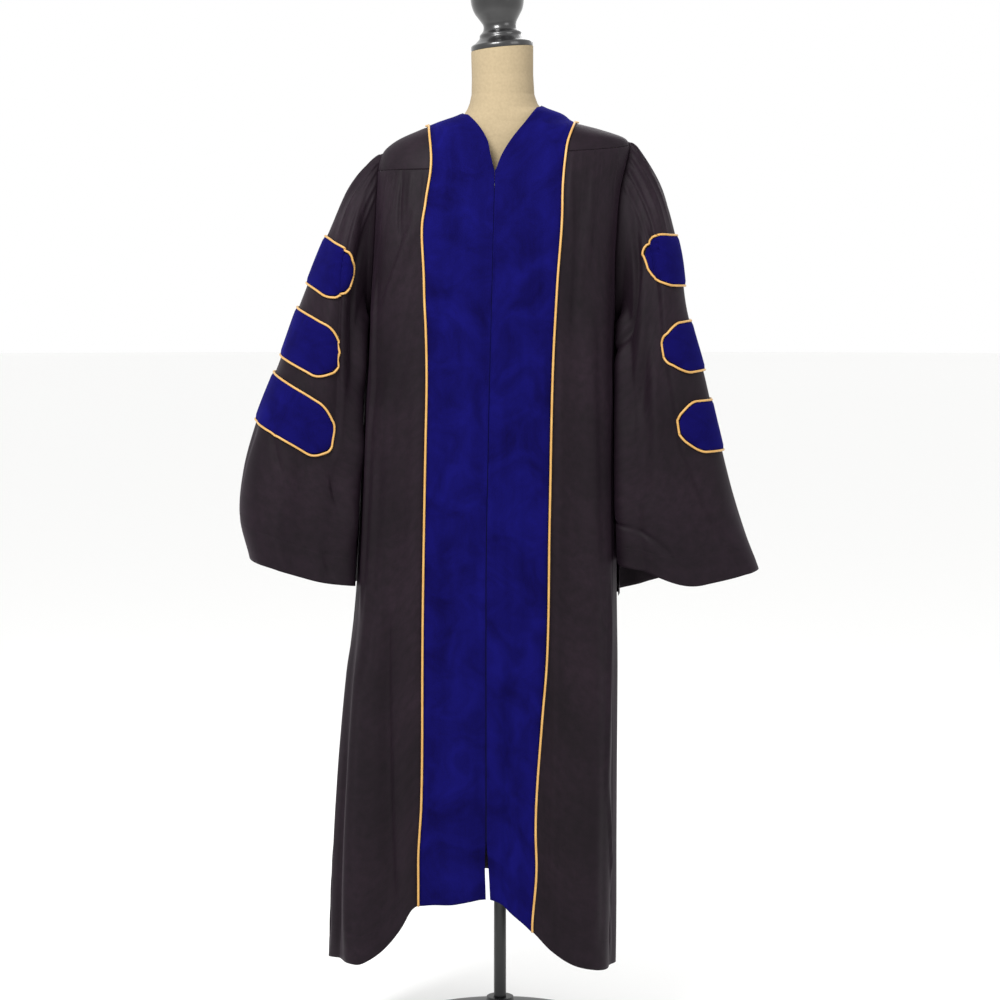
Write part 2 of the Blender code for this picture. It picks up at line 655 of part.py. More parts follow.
def front_yoke(side, finish, collection):
    """The small black yoke between the piping and the armhole, up to the shoulder ridge."""
    sign = side.sign
    inner = spaced(lambda z: piping_turn(side, z), side.yoke_z, side.ridge_z, UPPER_ROWS)
    inner[0] += SEAM_GAP / 2
    inner[-1] -= SEAM_GAP / 4
    inner_turn = piping_turn(side, inner) + sign * half_gap(inner, PIPED_GAP)
    outer_turn, outer = armhole(side, line(side.yoke_at, 180, UPPER_ROWS))
    outer_turn = sign * (outer_turn - half_gap(outer))
    outer[0] += SEAM_GAP / 2
    inner_turn[-1] = outer_turn[-1] = sign * (1 - RIDGE_GAP)
    seam_turn = line(inner_turn[0], outer_turn[0], FRONT_COLUMNS)
    seam = line(inner[0], outer[0], FRONT_COLUMNS)
    ridge_turn = np.full(FRONT_COLUMNS + 1, outer_turn[-1])
    ridge = line(inner[-1], outer[-1], FRONT_COLUMNS)
    turn, z = patch((seam_turn, seam), (ridge_turn, ridge), (inner_turn, inner), (outer_turn, outer))
    cloth(f"yoke_front_{side.name}", body(turn, z), GOWN_CLOTH, finish, collection)


def band_edge(turn, top):
    """The height of the velvet band's edges behind the neck: level above, an oval below."""
    across = oval(turn, 2.1)[0]
    if top:
        return (RIGHT.neck_z + LEFT.neck_z) / 2 + (RIGHT.neck_z - LEFT.neck_z) / 2 * across
    z = np.linspace(1.44, 1.505, 131)
    point = body_plain(np.asarray(turn)[:, None], z)
    left = read(BODY_RINGS, "left", LEFT.ridge_z)
    right = read(BODY_RINGS, "right", RIGHT.ridge_z)
    wide = np.where(point[..., 0] < 0, left, right)
    ridge = LEFT.ridge_z + (RIGHT.ridge_z - LEFT.ridge_z) * (point[..., 0] + left) / (left + right)
    below = np.clip(ridge - z, 0, 1) / (BAND_TOP_Z - BACK_BAND_Z)
    inside = (point[..., 0] / wide) ** 2 + below**2
    return np.array([np.interp(-1, -row, z) for row in inside])


def back_band(finish, collection):
    """The velvet band that joins the two front panels behind the neck."""
    turn = line(1 + RIDGE_GAP, 3 - RIDGE_GAP, YOKE_COLUMNS)
    low = band_edge(turn, False) + SEAM_GAP / 2
    high = band_edge(turn, True)
    share = np.linspace(0, 1, BAND_ROWS + 1)[:, None]
    z = low * (1 - share) + high * share
    cloth("velvet_back_neck", body(turn + 0 * z, z), VELVET, finish, collection)


def back_yoke(finish, collection):
    """The back yoke, from the band and the two shoulder ridges down to the gathers."""
    def down(side, left):
        shoulder = side.armhole_z + side.armhole_half
        ridge = line(shoulder, side.ridge_z - SEAM_GAP / 4, RIDGE_ROWS)[1:]
        steps = round((180 - side.back_yoke_at) / ARMHOLE_STEP)
        turn, z = armhole(side, line(side.back_yoke_at, 180, steps), back=True)
        turn = turn + half_gap(z)
        turn[-1] = 1 + RIDGE_GAP
        z[0] += SEAM_GAP / 2
        turn = np.concatenate([turn, np.full(RIDGE_ROWS, 1 + RIDGE_GAP)])
        return (4 - turn if left else turn), np.concatenate([z, ridge])

    right = down(RIGHT, False)
    left = down(LEFT, True)
    low_turn = line(right[0][0], left[0][0], YOKE_COLUMNS)
    low = back_seam(low_turn) + SEAM_GAP / 2
    top_turn = line(right[0][-1], left[0][-1], YOKE_COLUMNS)
    top = band_edge(top_turn, False) - SEAM_GAP / 2
    turn, z = patch((low_turn, low), (top_turn, top), right, left)
    cloth("yoke_back", body(turn, z), GOWN_CLOTH, finish, collection)


def back_seam(turn):
    """The height of the seam between the back yoke and the gathered back panel."""
    right = armhole(RIGHT, RIGHT.back_yoke_at, back=True)
    left = armhole(LEFT, LEFT.back_yoke_at, back=True)
    return smooth(turn, (right[0], 1.6, 2.4, 4 - left[0]), (right[1], BACK_YOKE_Z, BACK_YOKE_Z, left[1]))


def back_panel(finish, collection):
    """The gathered back panel, which falls from the yoke to the hem in soft flutes."""
    edges = []
    for side in (RIGHT, LEFT):
        skirt, angles = side_heights(side, hem_z(float(side.sign)), side.back_yoke_at)
        turn, z = armhole(side, angles, back=True)
        z = np.concatenate([skirt, z])
        turn = np.concatenate([np.ones_like(skirt), turn]) + half_gap(z)
        z[-1] -= SEAM_GAP / 2
        edges.append((turn if side.sign > 0 else 4 - turn, z))
    right, left = edges
    side_share = np.linspace(0, 1, SIDE_COLUMNS + 1)[None, :-1]
    from_right = right[0][:, None] * (1 - side_share) + BACK_FROM * side_share
    from_left = left[0][:, None] * (1 - side_share) + (4 - BACK_FROM) * side_share
    middle = np.broadcast_to(np.linspace(BACK_FROM, 4 - BACK_FROM, GATHERED_COLUMNS + 1),
                             (len(right[0]), GATHERED_COLUMNS + 1))
    turn = np.concatenate([from_right, middle, from_left[:, ::-1]], axis=1)
    hem = hem_z(turn[0])
    hem[-1] = left[1][0]
    share = np.linspace(0, 1, turn.shape[1])
    z = patch((turn[0], hem), (turn[-1], back_seam(turn[-1]) - SEAM_GAP / 2), right, left)[1]
    z[1:-1] = right[1][1:-1, None] * (1 - share) + left[1][1:-1, None] * share
    cloth("back_panel", body(turn, z), GOWN_CLOTH, finish, collection)


class Sleeve:
    """One sleeve: a tube from the armhole to the cuff, read by share of girth and by along."""

    def __init__(self, side, table, folds, lift):
        self.side = side
        self.table = table
        self.folds = folds
        self.lift = lift

    def head(self, share):
        """The ring at the armhole, just inside the hole in the gown's body."""
        angle = abs((share * 360 + 180) % 360 - 180)
        front = share % 1 < 0.5
        ahead = armhole(self.side, angle)
        behind = armhole(self.side, angle, back=True)
        inward = np.radians(angle)
        turn = np.where(front, ahead[0], behind[0])
        z = ahead[1] + SLEEVE_INSET * np.cos(inward)
        turn = turn + np.where(front, 1, -1) * SLEEVE_INSET / 0.28 * np.sin(inward)
        return body(self.side.sign * turn, z)

    def section(self, share, along):
        """The sleeve's own section."""
        toward_x, level = oval(2 + 4 * share, read(self.table, "square", along, key="along"))
        sign = self.side.sign
        get = {name: read(self.table, name, along, key="along") for name in Section._fields[1:7]}
        half_x = sign * (get["outer_x"] - get["inner_x"]) / 2
        half_z = (get["outer_z"] - get["inner_z"]) / 2
        x = sign * (get["outer_x"] + get["inner_x"]) / 2 + half_x * level
        z = (get["outer_z"] + get["inner_z"]) / 2 + half_z * level
        y = toward_x * np.where(toward_x < 0, get["front"], get["back"])
        return np.stack([x, y, z], axis=-1)

    def plain(self, share, along):
        share, along = np.broadcast_arrays(np.asarray(share, float), np.asarray(along, float))
        away = (1 - (1 - np.clip(along / HEAD_BLEND, 0, 1)) ** 2)[..., None]
        point = self.head(share) * (1 - away) + self.section(share, along) * away
        near = (share - CUFF_LIFT_AT + 0.5) % 1 - 0.5
        width = np.where(near < 0, CUFF_LIFT_NARROW, CUFF_LIFT_WIDE)
        bump = 0.5 + 0.5 * np.cos(math.pi * np.clip(near / width, -1, 1))
        lift = self.lift * bump * ease((along - CUFF_LIFT_FROM) / (1 - CUFF_LIFT_FROM))
        point[..., 2] += lift
        return point

    def normal(self, share, along, read_at):
        small = 0.004
        round_it = read_at(share + small, along) - read_at(share - small, along)
        down = read_at(share, along + small) - read_at(share, along - small)
        normal = -self.side.sign * np.cross(round_it, down)
        return normal / np.linalg.norm(normal, axis=-1, keepdims=True)

    def folded(self, share, along):
        share, along = np.broadcast_arrays(np.asarray(share, float), np.asarray(along, float))
        rise = stand_out(share, along, self.folds, period=1) * ease((along - 0.02) / 0.10)
        return self.plain(share, along) + self.normal(share, along, self.plain) * rise[..., None]

    def at(self, share, along, out=0.0):
        share, along = np.broadcast_arrays(np.asarray(share, float), np.asarray(along, float))
        point = self.folded(share, along)
        if np.all(np.asarray(out) == 0):
            return point
        return point + self.normal(share, along, self.folded) * np.asarray(out)[..., None]

    def slant(self, middle, tilt):
        """How a bar lies on the sleeve, in planes nearly square to the outer line at its middle.

        Returns tables by share of girth, in one row for each of three planes (the bar's upper
        edge, middle and lower edge): the along there, and the length round from the outer line.
        """
        ends = self.plain(0.5, np.array([middle - 0.02, middle + 0.02]))
        down = ends[1] - ends[0]
        lean = math.atan2(abs(down[0]), abs(down[2])) + math.radians(tilt)
        down = np.array([self.side.sign * math.sin(lean), 0.0, -math.cos(lean)])
        start = self.plain(0.5, middle)
        share = np.linspace(0.12, 0.88, 77)
        shift = np.array([-1, 0, 1]) * BAR_HALF_WIDTH
        low = np.full((3, 77), 0.01)
        high = np.full((3, 77), 0.99)
        for _ in range(14):
            half = (low + high) / 2
            below = (self.plain(share[None], half) - start) @ down > shift[:, None]
            high = np.where(below, half, high)
            low = np.where(below, low, half)
        points = self.folded(share[None], low)
        steps = np.linalg.norm(np.diff(points, axis=1), axis=-1)
        length = np.concatenate([np.zeros((3, 1)), np.cumsum(steps, axis=1)], axis=1)
        return share, low, length - length[:, 38:39]

    def lay_grid(self, bars):
        """The sleeve's grid. Its rows follow the upper edge, middle and lower edge of each bar."""
        self.slants = [self.slant(place.along, place.tilt) for place in bars]
        columns = np.linspace(0, 1, SLEEVE_COLUMNS + 1)
        held = np.clip(columns, 0.19, 0.81)
        keys = [np.zeros_like(columns)]
        for share, along, _ in self.slants:
            keys += [np.interp(held, share, along[0]), np.interp(held, share, along[2])]
        keys.append(np.ones_like(columns))
        rows = [keys[0]]
        for count, above, below in zip(SLEEVE_CELLS, keys, keys[1:]):
            rows += [above + (below - above) * k / count for k in range(1, count + 1)]
        self.along = np.stack(rows)
        self.points = self.at(columns[None], self.along)

    def build(self, finish, collection):
        cloth(f"sleeve_{self.side.name}", self.points, GOWN_CLOTH, finish, collection, tube=True)

    def laid_on(self, share, row, out):
        """A point on the flat faces of the sleeve's grid, by share and row, moved out."""
        column = np.clip((share * SLEEVE_COLUMNS).astype(int), 0, SLEEVE_COLUMNS - 1)
        above = np.clip(np.floor(row).astype(int), 0, len(self.points) - 2)
        a = share * SLEEVE_COLUMNS - column
        b = row - above

        def between(grid):
            wide = (slice(None),) * a.ndim + (None,) * (grid.ndim - 2)
            first, last = grid[above, column], grid[above + 1, column + 1]
            corner = np.where((a > b)[wide], grid[above, column + 1], grid[above + 1, column])
            more, less = np.maximum(a, b)[wide], np.minimum(a, b)[wide]
            return first + (corner - first) * more + (last - corner) * less

        return between(self.points) + self.normal(share, between(self.along), self.folded) * out

    def bar(self, number, place, velvet, gold, collection):
        """One velvet bar with cut-off corners, wrapped over the sleeve, and its piping."""
        share_table, _, length = self.slants[number - 1]
        middle_row = sum(SLEEVE_CELLS[: 2 * number - 1]) + 1
        reach_table = length[1] + place.forward

        def across(more):
            """Shares along the bar from end to end, and its half width there as a part of the full."""
            half_length = BAR_HALF_LENGTH + more
            corners = np.array([-half_length, BAR_CHAMFER - half_length, half_length - BAR_CHAMFER, half_length])
            ends = np.interp(corners, reach_table, share_table)
            columns = np.arange(SLEEVE_COLUMNS + 1) / SLEEVE_COLUMNS
            clear = np.min(abs(columns[:, None] - ends), axis=1) > 0.2 / SLEEVE_COLUMNS
            columns = columns[clear & (columns > ends[0]) & (columns < ends[-1])]
            shares = np.sort(np.concatenate([ends, columns]))
            from_end = half_length - abs(np.interp(shares, share_table, reach_table))
            tip = (BAR_TIP_HALF_WIDTH + 0.4 * more) / BAR_HALF_WIDTH
            return shares, np.clip(tip + (1 - tip) * from_end / BAR_CHAMFER, tip, 1)

        def lifted(shares):
            """A little more room near the ends, where the bar leaves the sleeve's own columns."""
            near = np.minimum(shares - shares[0], shares[-1] - shares) * SLEEVE_COLUMNS
            return BAR_LIFT * np.clip(1.5 - near / 2, 0, 1)[:, None]

        shares, wide = across(0)
        name = f"velvet_bar_{self.side.name}_{number}"
        out = GOWN_CLOTH / 2 + place.gap + BAR_VELVET / 2 + lifted(shares)
        rows = [self.laid_on(shares, middle_row + where * wide, out) for where in (-1, 0, 1)]
        cloth(name, np.stack(rows), BAR_VELVET, velvet, collection)

        edge = CORD_RADIUS + LAYER_GAP + BAR_EDGE_GAP
        shares, wide = across(edge)
        column = np.round(shares * SLEEVE_COLUMNS).astype(int)
        out = GOWN_CLOTH / 2 + place.gap + CORD_RADIUS + lifted(shares)
        loop = []
        for where in (-1, 1):
            beyond = self.points[middle_row + 2 * where, column] - self.points[middle_row + where, column]
            step = edge / np.linalg.norm(beyond, axis=-1)
            rows = middle_row + where * (wide + np.where(wide > 0.99, step, 0))
            points = self.laid_on(shares, rows, out)
            loop.append(points if where < 0 else points[::-1])
        name = f"bar_piping_{self.side.name}_{number}"
        cord(name, np.concatenate(loop), gold, collection, closed=True)


def front_cord(finish, collection):
    """One cord along both front seams, over the shoulders and round the back of the neck."""
    def up(side):
        low = hem_z(piping_turn(side, 0.25))
        bend = side.ridge_z - 0.075
        z = line(low, bend, round((bend - low) / CORD_STEP))[:-1]
        z = np.concatenate([z, spaced(lambda z: piping_turn(side, z), bend, side.ridge_z, BEND_STEPS)[:-1]])
        return np.stack([piping_turn(side, z), z], axis=-1)

    back = np.linspace(3, 1, 25)
    behind = np.stack([back, band_edge(back, False)], axis=-1)
    run = np.concatenate([up(LEFT), behind, up(RIGHT)[::-1]])
    out = VELVET / 2 + LAYER_GAP + CORD_RADIUS
    cord("front_piping", body(run[:, 0], run[:, 1], out), finish, collection)


def zip_tape(finish, collection):
    """The tape of the closed front zip, just behind the two velvet edges."""
    z = line(ZIP_LOW, ZIP_HIGH, ZIP_ROWS)[:, None]
    across = np.array([-1, -0.04, 0.04, 1]) * ZIP_HALF_WIDTH
    turn = turn_of(read(CENTRE_FRONT, "x", z) + across, z)
    out = -(VELVET / 2 + ZIP_GAP + ZIP_TAPE / 2)
    cloth("zip_tape", body(turn, z + 0 * turn, out), ZIP_TAPE, finish, collection)


def form_rings():
    """The rings of the form. Its shoulders follow the gown's, a little lower and shallower."""
    shoulders = []
    for z in FORM_SHOULDERS:
        left, right, front, back = (
            float(read(BODY_RINGS, name, z + FORM_DROP)) for name in ("left", "right", "front", "back")
        )
        clear = FORM_NECK_CLEAR * float(ease((z - 1.498) / 0.014))
        left, right = min(left, FORM_WIDEST[0]) - clear, min(right, FORM_WIDEST[1]) - clear
        shoulders.append(Ring(z, left, right, front * FORM_DEPTH, back * FORM_DEPTH, 2.1))
    return FORM_BODY + tuple(shoulders) + FORM_NECK


def dress_form(finish, collection):
    """The form's closed torso and neck, as rings from its flat underside up."""
    shape = bmesh.new()
    turn = np.linspace(0, 4, FORM_SEGMENTS, endpoint=False)
    rings = []
    for row in form_rings():
        across, toward = oval(turn, row.square)
        x = np.where(across < 0, row.left, row.right) * across
        y = -np.where(toward > 0, row.front, row.back) * toward
        lean = NECK_LEAN * ease((row.z - NECK_LEAN_FROM) / 0.07)
        rings.append([shape.verts.new(point) for point in zip(x, y, row.z + lean * (x - NECK_X))])
    for low, high in zip(rings, rings[1:]):
        for k in range(FORM_SEGMENTS):
            after = (k + 1) % FORM_SEGMENTS
            shape.faces.new((low[k], low[after], high[after], high[k]))
    shape.faces.new(rings[0])
    shape.faces.new(rings[-1])
    bmesh.ops.recalc_face_normals(shape, faces=shape.faces)
    mesh = bpy.data.meshes.new("form_torso")
    shape.to_mesh(mesh)
    shape.free()
    mesh.shade_smooth()
    mesh.set_sharp_from_angle(angle=math.radians(50))
    add_object("form_torso", mesh, finish, collection)


def stand(wood, metal, collection):
    """The turned neck cap, and the stand's pole and base."""
    lean = math.atan(NECK_LEAN)
    top = FORM_NECK[-1].z + STAND_GAP
    turned("form_neck_cap", NECK_CAP, (NECK_X, 0, top), wood, collection, tilt=-lean)
    turned("stand_base", STAND_BASE, (0, 0, 0), metal, collection)
    low = STAND_BASE[-1].z + STAND_GAP
    high = FORM_BODY[0].z - STAND_GAP
    shape = bmesh.new()
    bmesh.ops.create_cone(
        shape, cap_ends=True, segments=POLE_SEGMENTS, radius1=POLE_RADIUS, radius2=POLE_RADIUS,
        depth=high - low, matrix=Matrix.Translation((0, 0, (high + low) / 2)),
    )
    mesh = bpy.data.meshes.new("stand_pole")
    shape.to_mesh(mesh)
    shape.free()
    mesh.shade_smooth()
    mesh.set_sharp_from_angle(angle=math.radians(40))
    add_object("stand_pole", mesh, metal, collection)


def main():
    for obj in list(bpy.data.objects):
        bpy.data.objects.remove(obj)
    gown = bpy.data.collections.new("graduation_gown")
    bpy.context.scene.collection.children.link(gown)
    black = material("black_gown_cloth", (0.016, 0.015, 0.019), 0.75)
    velvet = material("blue_velvet", (0.008, 0.008, 0.19), 0.9)
    gold = material("gold_piping", (0.66, 0.42, 0.12), 0.5)
    tape = material("black_zip_tape", (0.008, 0.008, 0.012), 0.7)
    cream = material("cream_form_cloth", (0.68, 0.56, 0.36), 0.85)
    wood = material("black_satin_wood", (0.006, 0.006, 0.006), 0.3)
    metal = material("black_stand_metal", (0.008, 0.008, 0.009), 0.35, 0.6)
    for side in (LEFT, RIGHT):
        velvet_front(side, velvet, gown)
        black_front(side, black, gown)
        front_yoke(side, black, gown)
    back_band(velvet, gown)
    back_yoke(black, gown)
    back_panel(black, gown)
    front_cord(gold, gown)
    zip_tape(tape, gown)
    sleeves = (
        (Sleeve(LEFT, SLEEVE_LEFT, SLEEVE_FOLDS_LEFT, CUFF_LIFT_LEFT), BARS_LEFT),
        (Sleeve(RIGHT, SLEEVE_RIGHT, SLEEVE_FOLDS_RIGHT, CUFF_LIFT_RIGHT), BARS_RIGHT),
    )
    for sleeve, bars in sleeves:
        sleeve.lay_grid(bars)
        sleeve.build(black, gown)
        for number, place in enumerate(bars, start=1):
            sleeve.bar(number, place, velvet, gold, gown)
    dress_form(cream, gown)
    stand(wood, metal, gown)


main()
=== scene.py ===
import math
from collections import namedtuple

import bmesh
import bpy
import numpy as np
from mathutils import Matrix, Vector


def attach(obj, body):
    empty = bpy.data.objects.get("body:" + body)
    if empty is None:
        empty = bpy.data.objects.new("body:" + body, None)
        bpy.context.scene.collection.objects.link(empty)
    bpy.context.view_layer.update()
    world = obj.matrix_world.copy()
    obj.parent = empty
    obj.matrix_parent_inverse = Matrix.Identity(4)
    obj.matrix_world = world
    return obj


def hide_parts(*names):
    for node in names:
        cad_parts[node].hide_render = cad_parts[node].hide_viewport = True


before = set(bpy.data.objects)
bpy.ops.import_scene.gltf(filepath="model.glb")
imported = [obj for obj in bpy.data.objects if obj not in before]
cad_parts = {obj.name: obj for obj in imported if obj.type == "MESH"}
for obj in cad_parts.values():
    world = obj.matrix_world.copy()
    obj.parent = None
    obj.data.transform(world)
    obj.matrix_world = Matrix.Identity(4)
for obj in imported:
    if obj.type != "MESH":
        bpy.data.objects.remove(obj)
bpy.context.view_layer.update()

# %% [markdown]
# ## The camera
# The photograph was taken from a little above the middle of the gown, looking slightly
# down. At that distance one pixel of the 1000 pixel frame is 1.62 mm at the form's middle.
# A long lens could stand further off, but then the hem's notch would show less of the back.
# %% Place the camera
CAMERA_PLACE = Vector((0.0, -4.0, 1.25))
CAMERA_AIM = Vector((0.0, 0.0, 0.8965))
SENSOR_WIDTH = 36
LENS = 89.24
camera_data = bpy.data.cameras.new("photo_camera")
camera_data.sensor_width = SENSOR_WIDTH
camera_data.lens = LENS
camera = bpy.data.objects.new("photo_camera", camera_data)
camera.location = CAMERA_PLACE
camera.rotation_euler = (CAMERA_AIM - CAMERA_PLACE).to_track_quat("-Z", "Y").to_euler()
bpy.context.scene.collection.objects.link(camera)
bpy.context.scene.camera = camera
camera_far = (CAMERA_AIM - CAMERA_PLACE).length
print("frame height at the form, m:", round(SENSOR_WIDTH / LENS * camera_far, 3))

# %% [markdown]
# ## Colour and nodes
# Colours are written as people read them off a chart, as sRGB hex values, and Blender wants
# linear light, so one function turns one into the other. One more adds any node: it sets
# the node's own options, then fills or links its inputs by name. That keeps each finish
# below short enough to read as a recipe. Every finish ends alike, in two tones and a fine
# relief, and every mesh ends alike, as an object with one finish.
# %% A few small helpers
def colour(hexa):
    """An sRGB hex value as linear red, green, blue and alpha."""
    parts = [int(hexa[k : k + 2], 16) / 255 for k in (1, 3, 5)]
    return tuple(c / 12.92 if c <= 0.04045 else ((c + 0.055) / 1.055) ** 2.4 for c in parts) + (1,)


def add(tree, kind, inputs=None, **options):
    """Adds a node, sets its options, and sets or links the inputs that are named."""
    made = tree.nodes.new(kind)
    for name, value in options.items():
        setattr(made, name, value)
    for name, value in (inputs or {}).items():
        socket = made.inputs[name]
        if isinstance(value, bpy.types.NodeSocket):
            tree.links.new(value, socket)
        else:
            socket.default_value = value
    return made


def finish_named(name, **values):
    """A new material, its node tree and its Principled shader with these plain values."""
    made = bpy.data.materials.new(name)
    made.use_nodes = True
    shader = made.node_tree.nodes["Principled BSDF"]
    for socket, value in values.items():
        shader.inputs[socket.replace("_", " ")].default_value = value
    return made, made.node_tree, shader


def tone_and_relief(tree, shader, share, dark, light, height, strength, depth):
    """Links two tones, mixed by share, and a relief of this height into a shader."""
    tone = {0: share, 6: colour(dark), 7: colour(light)}
    mixed = add(tree, "ShaderNodeMix", tone, data_type="RGBA")
    tree.links.new(mixed.outputs[2], shader.inputs["Base Color"])
    if height is not None:
        raised = {"Height": height, "Strength": strength, "Distance": depth}
        tree.links.new(add(tree, "ShaderNodeBump", raised).outputs[0], shader.inputs["Normal"])


def object_of(shape, name, finish):
    """Writes a bmesh out as an object with this finish, and frees the bmesh."""
    mesh = bpy.data.meshes.new(name)
    shape.to_mesh(mesh)
    shape.free()
    made = bpy.data.objects.new(name, mesh)
    made.data.materials.append(finish)
    bpy.context.scene.collection.objects.link(made)
    return made


# %% [markdown]
# ## Floor and light
# The gown stands in a plain pale studio. A large soft light from the front and above shows
# the folds without hard shadows, a weaker one fills the other side, and a third from behind
# draws the edge of the dark cloth. A sun would be simpler, but its shadows are too sharp
# for a studio picture.
# %% Build the studio
world = bpy.data.worlds.new("pale_studio")
world.use_nodes = True
world.node_tree.nodes["Background"].inputs["Color"].default_value = colour("#FFFFFF")
world.node_tree.nodes["Background"].inputs["Strength"].default_value = 1.0
bpy.context.scene.world = world
bpy.context.scene.view_settings.view_transform = "Standard"

FLOOR_RADIUS = 40
floor_paint, tree, shader = finish_named("matt_floor_paint", Roughness=0.85)
floor_grain = add(tree, "ShaderNodeTexNoise", {"Scale": 3.0, "Detail": 4.0}).outputs["Fac"]
tone_and_relief(tree, shader, floor_grain, "#F8F8F7", "#FBFBFA", None, 0, 0)
floor_shape = bmesh.new()
bmesh.ops.create_circle(floor_shape, cap_ends=True, segments=96, radius=FLOOR_RADIUS)
floor = object_of(floor_shape, "studio_floor", floor_paint)

Lamp = namedtuple("Lamp", "name place aim size watts")
LAMPS = (
    Lamp("key", (-0.95, -1.75, 2.85), (0, 0, 1.35), 1.0, 78),
    Lamp("fill", (2.0, -1.8, 2.3), (0, 0, 1.3), 1.4, 16),
    Lamp("back", (0.6, 2.4, 2.8), (0, 0, 1.2), 1.6, 18),
)
for lamp in LAMPS:
    light = bpy.data.lights.new(lamp.name, "AREA")
    light.size = lamp.size
    light.energy = lamp.watts
    lamp_object = bpy.data.objects.new(lamp.name, light)
    lamp_object.location = lamp.place
    toward = Vector(lamp.aim) - Vector(lamp.place)
    lamp_object.rotation_euler = toward.to_track_quat("-Z", "Y").to_euler()
    bpy.context.scene.collection.objects.link(lamp_object)
print("lamps:", len(LAMPS), "floor across, m:", 2 * FLOOR_RADIUS)

# %% [markdown]
# ## Black polyester
# The gown is woven of polyester: a flat, dry black with a very faint brown cast, that turns
# a little lighter where it faces the light and along its folds. Its threads are 0.25 mm
# apart, too fine to show here, so the weave is drawn at 1.6 mm. A 45 mm deep hem is
# turned up at the skirt and the cuffs, and its blind stitching pulls a soft line.
# %% Make the polyester
WAVE_PITCH = 0.314  # a wave texture of scale 1 repeats every 0.314 m
WEAVE_PITCH = 0.0016
HEM_DEPTH = 0.045
gown_cloth, tree, shader = finish_named(
    "black_polyester", Roughness=0.6, IOR=1.5, Specular_IOR_Level=0.11, Sheen_Weight=0.035,
    Sheen_Roughness=0.5, Sheen_Tint=colour("#B590B4"),
)
cloth_map = add(tree, "ShaderNodeUVMap", uv_map="cloth")
thread = {"Vector": cloth_map.outputs[0], "Scale": WAVE_PITCH / WEAVE_PITCH}
warp = add(tree, "ShaderNodeTexWave", thread, bands_direction="X")
weft = add(tree, "ShaderNodeTexWave", thread, bands_direction="Y")
weave = add(
    tree, "ShaderNodeMath", {0: warp.outputs["Fac"], 1: weft.outputs["Fac"]},
    operation="MULTIPLY",
)
slubs = add(
    tree, "ShaderNodeTexNoise",
    {"Vector": cloth_map.outputs[0], "Scale": 70.0, "Detail": 6.0, "Roughness": 0.7},
)
drape = add(
    tree, "ShaderNodeTexNoise", {"Vector": cloth_map.outputs[0], "Scale": 6.0, "Detail": 2.0},
)
tone = add(
    tree, "ShaderNodeMath", {0: slubs.outputs["Fac"], 1: drape.outputs["Fac"]},
    operation="MULTIPLY",
)
tone = add(
    tree, "ShaderNodeMapRange", {"Value": tone.outputs[0], "From Min": 0.12, "From Max": 0.40},
)
up_from_hem = add(tree, "ShaderNodeSeparateXYZ", {"Vector": cloth_map.outputs[0]})
from_stitch = add(
    tree, "ShaderNodeMath", {0: up_from_hem.outputs["Y"], 1: HEM_DEPTH},
    operation="SUBTRACT",
)
from_stitch = add(tree, "ShaderNodeMath", {0: from_stitch.outputs[0]}, operation="ABSOLUTE")
hem_line = add(
    tree, "ShaderNodeMapRange",
    {"Value": from_stitch.outputs[0], "From Min": 0.0, "From Max": 0.002},
)
relief = add(tree, "ShaderNodeMath", {0: weave.outputs[0], 1: 0.25}, operation="MULTIPLY")
for part, share in ((slubs.outputs["Fac"], 1.2), (hem_line.outputs[0], 1.4)):
    relief = add(
        tree, "ShaderNodeMath", {0: part, 1: share, 2: relief.outputs[0]},
        operation="MULTIPLY_ADD",
    )
tone_and_relief(
    tree, shader, tone.outputs[0], "#0F090E", "#1D131B", relief.outputs[0], 0.45, 0.0004,
)
print("polyester: weave drawn at", WEAVE_PITCH * 1000, "mm, hem", HEM_DEPTH * 1000, "mm")

# %% [markdown]
# ## Blue velvet
# Velvet is a cloth with a short, dense, upright pile. Light that falls into the pile is
# lost, and light that grazes its tips comes back, so it is deep and dark face on and glows
# along its edges: that is what sheen is for. Wear crushes the nap into soft patches of about
# 30 mm, brushed a little down the cloth, and the pile itself shows as a fine grain.
# %% Make the velvet
STREAK_WIDTH = 0.016
STREAK_LENGTH = 0.110
MOTTLE = 0.030
PILE_GRAIN = 0.0014
velvet, tree, shader = finish_named(
    "cotton_velvet", Roughness=0.95, IOR=1.4, Specular_IOR_Level=0.06, Sheen_Weight=0.10,
    Sheen_Roughness=0.42, Sheen_Tint=colour("#4A44FF"),
)
cloth_map = add(tree, "ShaderNodeUVMap", uv_map="cloth")
brushed = add(
    tree, "ShaderNodeMapping",
    {"Vector": cloth_map.outputs[0], "Scale": (1 / STREAK_WIDTH, 1 / STREAK_LENGTH, 1)},
)
streaks = add(
    tree, "ShaderNodeTexNoise", {"Vector": brushed.outputs[0], "Scale": 0.5, "Detail": 3.0},
)
pile = add(
    tree, "ShaderNodeTexNoise",
    {"Vector": cloth_map.outputs[0], "Scale": 1 / PILE_GRAIN, "Detail": 2.0},
)
crushed = add(
    tree, "ShaderNodeTexNoise",
    {
        "Vector": cloth_map.outputs[0], "Scale": 0.5 / MOTTLE, "Detail": 5.0,
        "Roughness": 0.6, "Distortion": 0.8,
    },
)
nap = add(
    tree, "ShaderNodeMix", {0: 0.72, 2: streaks.outputs["Fac"], 3: crushed.outputs["Fac"]},
)
nap = add(
    tree, "ShaderNodeMapRange", {"Value": nap.outputs[0], "From Min": 0.32, "From Max": 0.66},
)
grain = add(
    tree, "ShaderNodeMapRange",
    {
        "Value": pile.outputs["Fac"], "From Min": 0.3, "From Max": 0.7,
        "To Min": -0.22, "To Max": 0.22,
    },
)
